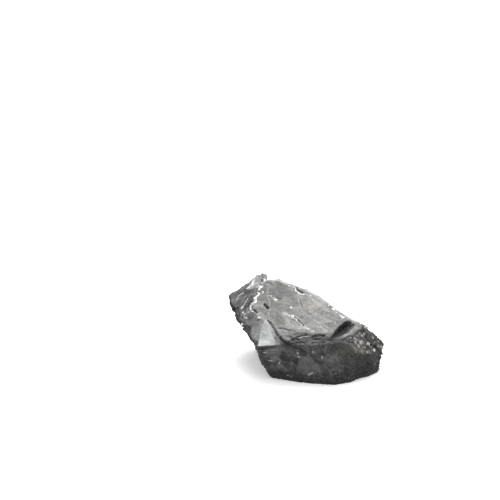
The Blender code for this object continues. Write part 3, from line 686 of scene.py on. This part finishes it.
def broken_surface_tree(material):
    """Moves a dense mesh's points in or out as broken, layered stone, and marks its edges and hollows."""
    tree, given, position = new_tree("broken surface", SURFACE_SIZES)
    normal = add(tree, "GeometryNodeInputNormal").outputs[0]

    def bulge(rounds):
        """How far the surface stands out over a blurred copy of itself, and where that copy lies."""
        places = {"Value": position, "Iterations": rounds}
        blurred = in_use(add(tree, "GeometryNodeBlurAttribute", places, data_type="FLOAT_VECTOR").outputs)
        return vector(tree, "DOT_PRODUCT", vector(tree, "SUBTRACT", position, blurred), normal), blurred

    broad, blurred = bulge(EASE_ROUNDS)
    edge = ramp(tree, broad, *EDGE)
    # Flat parts take the blurred place, so the solid's triangles go; edges and rims keep their own.
    flat = ramp(tree, calc(tree, "ABSOLUTE", broad), *FLAT)
    flat = calc(tree, "MAXIMUM", flat, product(tree, "back_edge", 0.8))
    eased = between(tree, flat, position, blurred)
    eased = between(tree, "pocket_side", eased, bulge(POCKET_ROUNDS)[1])

    warped = shaken(tree, position, noise_of(tree, position, 9.0), 4.0 * MM)
    across = rest(tree, calc(tree, "ABSOLUTE", vector(tree, "DOT_PRODUCT", normal, tuple(BEDDING))))
    across = ramp(tree, across, 0.15, 0.6)
    smooth = calc(tree, "MAXIMUM", "slab", "lower_layer")
    worn = product(tree, chain(tree, "MAXIMUM", "raised_layer", "cheek", "horn"), 0.7)
    worn = calc(tree, "MAXIMUM", worn, product(tree, "front", 0.5))
    rough = product(tree, rest(tree, smooth), rest(tree, worn))
    patch = ramp(tree, noise_of(tree, position, 28.0, 2.0)["Fac"], 0.42, 0.6)

    large = split_faces(tree, warped, given["Large face"], given["Large face height"])
    small = split_faces(tree, warped, given["Small face"], given["Small face height"])
    grain = split_faces(tree, position, given["Grain"], given["Grain height"])
    bites = ramp(tree, noise_of(tree, warped, 6.0, 2.0)["Fac"], 0.52, 0.6)
    layers = layer_ends(tree, warped, given["Layer pitch"], given["Layer height"])
    flakes = flake_steps(tree, drawn_out(tree, position, SLAB_WAY, 2.0), 26.0, 16.0, given["Flake height"])
    # Each row: a height in metres, or a region that is this many metres high, and the shares it counts by.
    height = sum_of(
        tree,
        (large, rough),
        (small, rough, ramp(tree, patch, 0.0, 1.0, 0.35, 1.0)),
        (large, smooth, 0.25),
        (small, "crest", 0.7),
        (grain, "broken_end", 1.2),
        (grain, "crest", 0.6),
        (layers, across, rough, patch),
        (flakes, rest(tree, "lower_layer")),
        (ripples(tree, position, 4.5, 4.0, given["Dimple depth"]),),
        (bites, given["Edge chip depth"], edge, -1.0),
        (ripples(tree, drawn_out(tree, warped, RIM_WAY, 9.0), 2.2, 2.0, given["Rim wave height"]), "rim"),
        ("pale_grain", 0.0006),
        ("bright_grain", 0.0004),
        ("seam", 0.0004),
        ("sunk", -1.0),
    )
    height = product(tree, height, calc(tree, "MULTIPLY_ADD", "back_edge", -0.9, 1.0))
    over_sole = ramp(tree, height_of(tree, position), SOLE_RISE[0] * MM, SOLE_RISE[1] * MM)
    height = product(tree, height, over_sole)
    easing = add(tree, "GeometryNodeSetPosition", {"Geometry": given["Geometry"], "Position": eased})
    hollow = ramp(tree, broad, *HOLLOW)
    marked = keep_shares(tree, easing.outputs["Geometry"], edge=edge, hollow=hollow)
    offset = vector(tree, "SCALE", normal, height)
    moved = add(tree, "GeometryNodeSetPosition", {"Geometry": marked, "Offset": offset})
    fine = bulge(FINE_ROUNDS)[0]
    ridge, pit = ramp(tree, fine, *RIDGE), ramp(tree, fine, *PIT)
    return end_tree(tree, keep_shares(tree, moved.outputs["Geometry"], ridge=ridge, pit=pit), material)


def crystals_tree(material):
    """Scatters small, turned blocks of crystal, half sunk, where the stone's broken end is."""
    tree, given, position = new_tree("crystals", CRYSTAL_SIZES)

    def drawn(kind, low, high, seed):
        """A value drawn anew for each crystal."""
        limits = {"Min": low, "Max": high, "Seed": seed}
        return in_use(add(tree, "FunctionNodeRandomValue", limits, data_type=kind).outputs)

    patches = ramp(tree, noise_of(tree, position, 7.0)["Fac"], 0.4, 0.62)
    share = product(tree, ramp(tree, "broken_end", 0.15, 0.7), patches, ramp(tree, "faded", 0.0, 1.0, 1.0, 0.3))
    density = product(tree, share, given["Crystals per area"])
    scattered = {"Mesh": given["Geometry"], "Density": density, "Seed": PLACE_SEED}
    points = add(tree, "GeometryNodeDistributePointsOnFaces", scattered)
    size = drawn("FLOAT", given["Smallest"], given["Largest"], SIZE_SEED)
    blocks = {
        "Points": points.outputs["Points"],
        "Instance": add(tree, "GeometryNodeMeshCube", {"Size": CRYSTAL_BLOCK}).outputs["Mesh"],
        "Scale": vector(tree, "SCALE", drawn("FLOAT_VECTOR", LEAST_SHAPE, MOST_SHAPE, SHAPE_SEED), size),
        "Rotation": drawn("FLOAT_VECTOR", NO_TURN, WHOLE_TURN, TURN_SEED),
    }
    placed = add(tree, "GeometryNodeInstanceOnPoints", blocks)
    return end_tree(tree, placed.outputs["Instances"], material)


def take_modifiers(item):
    """Puts the result of the object's modifiers in its mesh."""
    graph = bpy.context.evaluated_depsgraph_get()
    mesh = bpy.data.meshes.new_from_object(item.evaluated_get(graph))
    item.modifiers.clear()
    item.data = mesh


def grow(item, tree, sizes):
    """Runs a tree on an object with these sizes as its inputs, and keeps the result as a plain mesh."""
    maker = item.modifiers.new(tree.name, "NODES")
    maker.node_group = tree
    for socket in tree.interface.items_tree:
        if socket.in_out == "INPUT" and socket.name in sizes:
            maker[socket.identifier] = sizes[socket.name]
    take_modifiers(item)


def make_dense(stone):
    """Remeshes the stone with small, even faces."""
    dense = stone.modifiers.new("dense", "REMESH")
    dense.mode = "VOXEL"
    dense.voxel_size = SURFACE_VOXEL * MM
    take_modifiers(stone)


def new_item(name, data):
    item = bpy.data.objects.new(name, data)
    bpy.context.scene.collection.objects.link(item)
    return item


def dense_copy(node, name):
    """A copy of a CAD node's mesh with its points merged, remeshed finely."""
    shape = bmesh.new()
    shape.from_mesh(node.data)
    bmesh.ops.remove_doubles(shape, verts=shape.verts, dist=0.001 * MM)
    mesh = bpy.data.meshes.new(name)
    shape.to_mesh(mesh)
    shape.free()
    mesh.materials.clear()
    stone = new_item(name, mesh)
    make_dense(stone)
    return stone


def keep_in_box(item):
    """Puts the few points that the relief pushed out of the solid's box back on it, so the sole stays level."""
    set_places(item.data, np.clip(vectors_of(item.data), *np.array(cad_box, np.float32)))


# ---------------------------------------------------------------- material
DARK = (0.014, 0.0145, 0.0145)
CHARCOAL = (0.036, 0.037, 0.037)
GREY = (0.095, 0.096, 0.096)
DUST = (0.14, 0.141, 0.142)
# The slab, the lower layer, the raised layer, the cheek and the horn are the same dark stone as the rest: their
# paler colours are painted sheen and painted light where they face the light, and on the slab partly dust.
SLAB_DARK, SLAB_MIDDLE, SLAB_LIGHT = (0.11, 0.11, 0.109), (0.20, 0.20, 0.197), (0.36, 0.36, 0.35)
LOWER_SHADED, LOWER_DARK, LOWER_LIGHT = (0.215, 0.218, 0.222), (0.31, 0.314, 0.32), (0.44, 0.444, 0.45)
# The lower layer's brightest colour is a painted highlight at its foot.
LOWER_HIGHLIGHT = (0.60, 0.604, 0.61)
RAISED_DARK, RAISED_LIGHT = (0.075, 0.076, 0.076), (0.16, 0.161, 0.161)
CHEEK_DARK, CHEEK_LIGHT = (0.125, 0.126, 0.126), (0.25, 0.251, 0.251)
HORN_DARK, HORN_LIGHT = (0.23, 0.231, 0.231), (0.42, 0.421, 0.422)
PALE = (0.30, 0.30, 0.295)
CHALK = (0.75, 0.74, 0.72)
WHITE = (0.86, 0.855, 0.84)
BEIGE = (0.33, 0.318, 0.29)
GRAIN_DARK, GRAIN_GREY, GRAIN_BEIGE = (0.055, 0.054, 0.052), (0.125, 0.123, 0.118), (0.165, 0.156, 0.14)
OLIVE = (0.062, 0.062, 0.042)
SHADE = (0.008, 0.008, 0.008)
CRYSTAL_PALE, CRYSTAL_BEIGE, CRYSTAL_GREY = (0.42, 0.41, 0.39), (0.26, 0.24, 0.21), (0.13, 0.13, 0.12)
FLOOR_DARK, FLOOR_LIGHT = (0.92, 0.92, 0.92), (0.94, 0.94, 0.94)
ROUGHEST, GLOSSIEST, SLAB_GLOSS = 0.64, 0.44, 0.08  # the stone's roughness, and how much less the slab has


def mixed(tree, share, first, second):
    """Between two colours, by a share."""
    node = add(tree, "ShaderNodeMix", {"Factor": share}, data_type="RGBA")
    for socket, colour in zip([s for s in node.inputs if s.type == "RGBA"], (first, second)):
        put(socket, colour if isinstance(colour, bpy.types.NodeSocket) else (*colour, 1.0))
    return next(s for s in node.outputs if s.type == "RGBA")


def coated(tree, colour, *coats):
    """The colour under some coats; each gives the shares to multiply, and then its own colour."""
    for *shares, coat in coats:
        colour = mixed(tree, product(tree, *shares), colour, coat)
    return colour


def torn(tree, share, grain, amount=0.3):
    """A region's share with a ragged, speckled edge."""
    ragged = calc(tree, "MULTIPLY_ADD", calc(tree, "SUBTRACT", grain, 0.5), amount, share)
    return ramp(tree, ragged, 0.3, 0.7)


def cells_of(tree, point, size):
    """A patchwork of cells of this size: the parts of each one's colour, and the Distance from its middle."""
    cells = add(tree, "ShaderNodeTexVoronoi", {"Vector": point, "Scale": 1.0 / (size * MM)}).outputs
    colours = add(tree, "ShaderNodeSeparateColor", {"Color": cells["Color"]}).outputs
    return {"Distance": cells["Distance"], **{socket.name: socket for socket in colours}}


def new_material(name):
    """A material, its tree, the inputs of its shader and the places on the object."""
    material = bpy.data.materials.new(name)
    material.use_nodes = True
    tree = material.node_tree
    point = add(tree, "ShaderNodeTexCoord").outputs["Object"]
    return material, tree, tree.nodes["Principled BSDF"].inputs, point


def stone_material():
    """Dark, dusty stone with a slab pale from dust and painted sheen, a lower layer pale from painted sheen,
    and white and beige crystal where it's broken.
    """
    material, tree, shader, point = new_material("dark layered stone")
    rise, mix, over, edged, drawn = (partial(maker, tree) for maker in (ramp, mixed, coated, torn, drawn_out))

    def noise_at(size, detail=4.0, roughness=0.55, where=point):
        return noise_of(tree, where, size, detail, roughness)["Fac"]

    def hairlines(size, width):
        """Thin wandering lines: 1 on them, 0 beside them."""
        beside = calc(tree, "ABSOLUTE", calc(tree, "SUBTRACT", noise_at(size, 5.0, 0.6), 0.5))
        return rise(beside, width, 0.0)

    def flecks(size, share, radius=0.3):
        """Small scattered spots: 1 in the middle of a share of the cells of this size."""
        spots = cells_of(tree, bent, size)
        chosen = rise(spots["Red"], 1.0 - share, 1.03 - share)
        return product(tree, chosen, rise(spots["Distance"], radius, 0.4 * radius))

    def patches(size):
        """A patchwork with ragged borders, each patch with its own value from 0 to 1."""
        return cells_of(tree, ragged, size)["Green"]

    bent = shaken(tree, point, noise_of(tree, point, 1.5, 2.0), 1.2 * MM)
    ragged = shaken(tree, drawn(point, SLAB_WAY, 1.6), noise_of(tree, point, 7.0, 4.0, 0.6), 9.0 * MM)
    cloud, mottle, blotch = noise_at(30.0), noise_at(8.0, 6.0, 0.65), noise_at(14.0, 5.0, 0.6)
    speckle, grit, dust = noise_at(2.2, 5.0, 0.65), noise_at(1.5, 3.0, 0.6), noise_at(0.9, 3.0)
    streak = noise_at(7.0, 6.0, 0.65, drawn(point, BEDDING, 1.0 / 6.0))
    scratches = rise(noise_at(2.4, 4.0, 0.6, drawn(point, SCRATCH_WAY, 6.0)), 0.6, 0.68)
    slab_streaks = noise_at(3.5, 5.0, 0.65, drawn(point, SLAB_WAY, 5.0))
    front_streaks = noise_at(3.2, 5.0, 0.65, drawn(point, FRONT_WAY, 3.0))
    wave = vector(tree, "SCALE", noise_of(tree, point, 11.0, 2.0)["Color"], 6.0 * MM)
    rim_streaks = noise_at(2.2, 4.0, 0.55, drawn(vector(tree, "ADD", point, wave), RIM_WAY, 9.0))
    cells = cells_of(tree, bent, 2.6)

    # The dark stone: charcoal along its layers, greyer in clouds, dusty where it looks up and round its foot;
    # painted shade darkens it towards the foot, in its lower right corner, on its left side and along its left
    # edge, and painted light makes the raised layer and the cheek paler.
    raised = over(
        mix(rise(mottle, 0.35, 0.65), RAISED_DARK, RAISED_LIGHT),
        (scratches, rise(blotch, 0.42, 0.58), 0.8, PALE),
    )
    base = over(
        mix(rise(streak, 0.32, 0.68), DARK, CHARCOAL),
        (rise(cloud, 0.4, 0.58), rise(mottle, 0.42, 0.6, 0.1, 1.0), GREY),
        (rise(blotch, 0.54, 0.44), "front", 0.6, DARK),
        (rise(front_streaks, 0.5, 0.62, 0.0, 0.6), GREY),
        (rise(front_streaks, 0.46, 0.36, 0.0, 0.8), DARK),
        (rise(speckle, 0.56, 0.66), rise(streak, 0.4, 0.6, 0.1, 0.6), DUST),
        ("dusty_foot", rise(mottle, 0.45, 0.65), rise(speckle, 0.45, 0.62), DUST),
        ("dusty_foot", flecks(2.4, 0.3), 0.8, PALE),
        ("dusty_foot", rise(grit, 0.46, 0.38), 0.9, DARK),
        # Soft paler and darker patches, mostly the stone's own tone, a few painted shade and painted highlight.
        ("paler", 0.5, DUST),
        ("darker", 0.8, DARK),
        ("smooth_patch", 0.85, mix(mottle, CHARCOAL, DUST)),
        ("olive", rise(mottle, 0.35, 0.6), 0.8, OLIVE),
        # Painted shade in the lower right corner.
        ("dark_corner", 0.95, mix(mottle, SHADE, DARK)),
        # Painted shade, darker towards the foot.
        (rise(height_of(tree, point), 15.0 * MM, 1.0 * MM, 0.0, 0.85), DARK),
        (flecks(3.4, 0.10), rise(mottle, 0.4, 0.6, 0.2, 0.9), PALE),
        ("up", rise(mottle, 0.25, 0.7, 0.3, 1.0), mix(rise(speckle, 0.35, 0.65), CHARCOAL, DUST)),
        # Painted light makes the raised layer and the cheek paler than the dark stone.
        (edged("raised_layer", mottle, 0.4), raised),
        (edged("cheek", mottle, 0.4), mix(rise(mottle, 0.3, 0.7), CHEEK_DARK, CHEEK_LIGHT)),
        # Painted shade on the left side, which turns under, and along the left edge.
        ("left_side", 0.8, DARK),
        ("dark_edge", 0.9, DARK),
    )

    # The slab: pale grey, partly from dust and partly as painted sheen, with soft blotches and streaks; painted
    # shade darkens it to the back and left, and painted sheen brightens it to the right.
    lit = rise(calc(tree, "MAXIMUM", product(tree, "dull", 0.8), "darker"), 0.1, 0.9, 1.0, 0.3)
    slab = over(
        mix(rise(blotch, 0.36, 0.6), SLAB_DARK, SLAB_MIDDLE),
        (rise(slab_streaks, 0.4, 0.64, 0.0, 0.6), SLAB_LIGHT),
        # Painted shade: the slab darker to the back and left, where its sheen falls off.
        ("dull", 0.9, SLAB_DARK),
        ("paler", rise(mottle, 0.36, 0.56, 0.3, 0.9), SLAB_LIGHT),
        ("darker", rise(mottle, 0.36, 0.56, 0.9, 0.4), GREY),
    )
    for tone in (patches(13.0), patches(7.0)):
        paler, darker = rise(tone, 0.55, 1.0, 0.0, 0.35), rise(tone, 0.45, 0.0, 0.0, 0.4)
        slab = over(slab, (paler, lit, SLAB_LIGHT), (darker, GREY))
    rim = over(
        mix(rise(rim_streaks, 0.42, 0.52), DARK, GREY),
        (rise(rim_streaks, 0.5, 0.6), SLAB_MIDDLE),
        ("rim_streak", 0.9, SLAB_LIGHT),
    )
    slab = over(
        slab,
        ("dark_flake", GREY),
        (flecks(3.8, 0.12, 0.35), rise(blotch, 0.4, 0.6, 0.2, 0.8), GREY),
        (rise(mottle, 0.5, 0.62, 0.0, 0.4), lit, SLAB_LIGHT),
        (rise(mottle, 0.46, 0.36, 0.0, 0.5), GREY),
        ("beige", rise(blotch, 0.3, 0.55, 0.45, 0.95), BEIGE),
        (hairlines(13.0, 0.012), rise(mottle, 0.45, 0.6, 0.0, 0.8), SLAB_DARK),
        (hairlines(6.0, 0.02), rise(blotch, 0.5, 0.65, 0.0, 0.5), SLAB_DARK),
        (rise(speckle, 0.5, 0.6, 0.0, 0.5), lit, SLAB_LIGHT),
        (rise(grit, 0.5, 0.38, 0.0, 0.45), GREY),
        ("faint", 0.5, SLAB_LIGHT),
        # Painted shade on the lip below the pocket, which faces the light.
        ("lip", 0.6, SLAB_DARK),
        (rise("rim", 0.05, 0.7, 0.0, 0.9), rim),
    )

    # The lower layer and the horn, painted pale as painted sheen where they face the light.
    lower = over(
        mix(rise(blotch, 0.35, 0.65), LOWER_DARK, LOWER_LIGHT),
        (rise(speckle, 0.5, 0.62, 0.0, 0.3), LOWER_LIGHT),
        # Painted highlight at the lower layer's foot, and painted shade on its right side.
        ("paler", LOWER_HIGHLIGHT),
        ("lower_side", LOWER_SHADED),
    )
    base = over(
        base,
        (edged("slab", speckle), slab),
        (edged("lower_layer", speckle, 0.25), lower),
        # Painted light: the steep step gets little light, so it is painted as pale as the lower layer, with
        # painted shade on its right side.
        ("step", mix("lower_side", LOWER_LIGHT, LOWER_SHADED)),
        (edged("horn", mottle), mix(rise(blotch, 0.35, 0.65), HORN_DARK, HORN_LIGHT)),
    )

    # The broken end: grey and beige grains between dark ones.
    bright = mix(rise(cells["Blue"], 0.3, 0.7), GRAIN_GREY, GRAIN_BEIGE)
    grains = mix(rise(cells["Green"], 0.15, 0.6, 0.2, 1.0), GRAIN_DARK, bright)
    grains = over(grains, ("faded", 0.8, CHARCOAL))
    base = over(
        base,
        (rise("broken_end", 0.1, 0.5), rise(mottle, 0.34, 0.48, 0.35, 1.0), grains),
        (rise("pale_grain", 0.05, 0.2), rise(cells["Red"], 0.35, 0.45), 0.4, mix(dust, GRAIN_BEIGE, CHALK)),
        (rise("pale_grain", 0.1, 0.3), rise(patches(1.5), 0.55, 0.65), 0.7, CHALK),
    )

    # Pale edges, partly wear and partly painted highlight where they catch the light, then what lies in the
    # shade of cracks and hollows.
    base = over(
        base,
        # Painted highlight on the crest and along its broken edges.
        ("crest", rise(cells["Red"], 0.3, 0.5), rise(mottle, 0.4, 0.6), 0.2, CHALK),
        (edged("seam", speckle, 1.2), 0.95, rise(noise_at(2.6, 3.0), 0.38, 0.46, 0.25, 1.0), WHITE),
        ("speck", 0.4, CHALK),
        # Paler edges and ridges: partly wear, partly painted highlight.
        ("edge", rise(speckle, 0.42, 0.62, 0.0, 0.5), PALE),
        ("ridge", 0.1, PALE),
        # Painted highlight on chipped edges that catch the light.
        (edged("pale", speckle, 1.0), 0.32, rise(grit, 0.35, 0.6, 0.4, 1.0), CHALK),
        ("pale", flecks(2.0, 0.3, 0.45), WHITE),
        # Painted highlight along the back edge.
        ("back_line", rise(mottle, 0.35, 0.6, 0.1, 0.5), CHALK),
        # Bright grains, some of them painted glints.
        (rise("bright_grain", 0.1, 0.3), rise(patches(1.4), 0.25, 0.35), 0.9, WHITE),
        # Painted light on the pocket's floor, which rises to the lip.
        ("pocket_floor", 0.85, SLAB_LIGHT),
        # Painted shade at the lip's lower end.
        ("low_lip", 0.8, CHARCOAL),
        ("hollow", rest(tree, "pocket"), 0.5, SHADE),
        ("pit", 0.35, SHADE),
        ("crack", 0.75, SHADE),
        ("rim_line", 0.93, SHADE),
        ("pocket_wall", 0.97, SHADE),
    )
    put(shader["Base Color"], base)

    roughness = rise(mottle, 0.3, 0.7, ROUGHEST, GLOSSIEST)
    put(shader["Roughness"], calc(tree, "SUBTRACT", roughness, product(tree, "slab", SLAB_GLOSS)))
    shader["Specular IOR Level"].default_value = 0.22

    small_chips = split_faces(tree, point, 1.7 * MM, 1.0)
    chipped = calc(tree, "ADD", small_chips, split_faces(tree, point, 4.3 * MM, 2.2))
    relief = sum_of(
        tree,
        (chipped, rise("slab", 0.0, 1.0, 1.2, 0.2)),
        (dust, 0.2),
        (speckle, 0.4),
        (mottle, 0.8),
        (streak, 0.6),
        (slab_streaks, "slab", 0.5),
    )
    relief = product(tree, relief, rise("rim", 0.0, 0.8, 1.0, 0.35))
    bump = add(tree, "ShaderNodeBump", {"Height": relief, "Strength": 0.7, "Distance": 0.8 * MM})
    put(shader["Normal"], bump.outputs["Normal"])
    return material


def crystal_material():
    """Small grains of calcite and quartz, pale to beige and grey, glassy."""
    material, tree, shader, point = new_material("pale crystal")
    tint, grey = (noise_of(tree, point, size, 2.0)["Fac"] for size in (3.0, 1.6))
    colour = mixed(tree, ramp(tree, tint, 0.42, 0.6), CRYSTAL_PALE, CRYSTAL_BEIGE)
    put(shader["Base Color"], coated(tree, colour, (ramp(tree, grey, 0.45, 0.6, 0.0, 0.85), CRYSTAL_GREY)))
    put(shader["Roughness"], ramp(tree, tint, 0.3, 0.7, 0.2, 0.45))
    return material


def floor_material():
    """A pale, matt floor that glows a little."""
    material, tree, shader, point = new_material("pale floor")
    tone = noise_of(tree, point, 400.0, 2.0)["Fac"]
    put(shader["Base Color"], mixed(tree, tone, FLOOR_DARK, FLOOR_LIGHT))
    shader["Roughness"].default_value = 0.9
    shader["Emission Color"].default_value = (1.0, 1.0, 1.0, 1.0)
    shader["Emission Strength"].default_value = 0.2
    shader["Specular IOR Level"].default_value = 0.1
    return material


# ---------------------------------------------------------------- floor, light and camera
def lay_floor():
    shape = bmesh.new()
    bmesh.ops.create_circle(shape, cap_ends=True, segments=64, radius=FLOOR_RADIUS)
    mesh = bpy.data.meshes.new("floor")
    shape.to_mesh(mesh)
    shape.free()
    floor = new_item("floor", mesh)
    floor.data.materials.append(floor_material())


def softbox(name, place, aim, size, radiance):
    """A rectangular soft light at a place, turned to an aim, with a brightness per area."""
    lamp = bpy.data.lights.new(name, "AREA")
    lamp.shape = "RECTANGLE"
    lamp.size, lamp.size_y = size
    lamp.energy = radiance * math.pi * size[0] * size[1]
    item = new_item(name, lamp)
    item.location = place
    item.rotation_euler = (Vector(aim) - Vector(place)).to_track_quat("-Z", "Y").to_euler()


def light_studio(middle):
    """A broad soft light above and behind the stone, which gives its slab a sheen, and a pale room round it."""
    softbox("top light", middle + Vector((0.10, 0.50, 0.95)), middle, (1.0, 0.7), 4.6)
    softbox("left fill", middle + Vector((-1.2, -0.4, 0.7)), middle, (0.5, 0.5), 1.5)
    world = bpy.data.worlds.new("pale room")
    world.use_nodes = True
    tree = world.node_tree
    height = height_of(tree, add(tree, "ShaderNodeTexCoord").outputs["Generated"])
    room = tree.nodes["Background"].inputs
    low_part, high_part = ramp(tree, height, 0.16, 0.3, 1.0, 0.5), ramp(tree, height, 0.25, 0.9, 0.0, 0.85)
    put(room["Strength"], calc(tree, "ADD", low_part, high_part))
    room["Color"].default_value = (1.0, 1.0, 1.0, 1.0)
    bpy.context.scene.world = world
    bpy.context.scene.view_settings.view_transform = "Standard"


def set_camera(low, high):
    """The camera ahead of the stone, a little to the left and above, looking straight back and down."""
    data = bpy.data.cameras.new("camera")
    data.lens = CAMERA_LENS
    data.clip_start, data.clip_end = 0.01, 100.0
    camera = new_item("camera", data)
    middle = (low + high) / 2
    camera.location = (middle.x - CAMERA_LEFT, low.y - CAMERA_AHEAD, low.z + CAMERA_HEIGHT)
    camera.rotation_euler = (math.radians(90.0 - CAMERA_PITCH), 0.0, 0.0)
    bpy.context.scene.camera = camera


# ---------------------------------------------------------------- the scene
def make_stone():
    stone = dense_copy(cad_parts["rock"], "layered_stone")
    narrow_pocket(stone)
    make_dense(stone)
    mark_regions(stone)
    grow(stone, broken_surface_tree(stone_material()), SURFACE_SIZES)
    thin = stone.modifiers.new("thin", "DECIMATE")
    thin.ratio = MOST_TRIANGLES / (2 * len(stone.data.polygons))
    take_modifiers(stone)
    keep_in_box(stone)
    for face in stone.data.polygons:
        face.use_smooth = True
    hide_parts("rock")
    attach(stone, "root")
    return stone


def make_crystals(stone):
    crystals = new_item("crystals", stone.data.copy())
    grow(crystals, crystals_tree(crystal_material()), CRYSTAL_SIZES)
    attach(crystals, "root")


low, high = (Vector(corner) for corner in cad_box)
make_crystals(make_stone())
lay_floor()
light_studio((low + high) / 2)
set_camera(low, high)
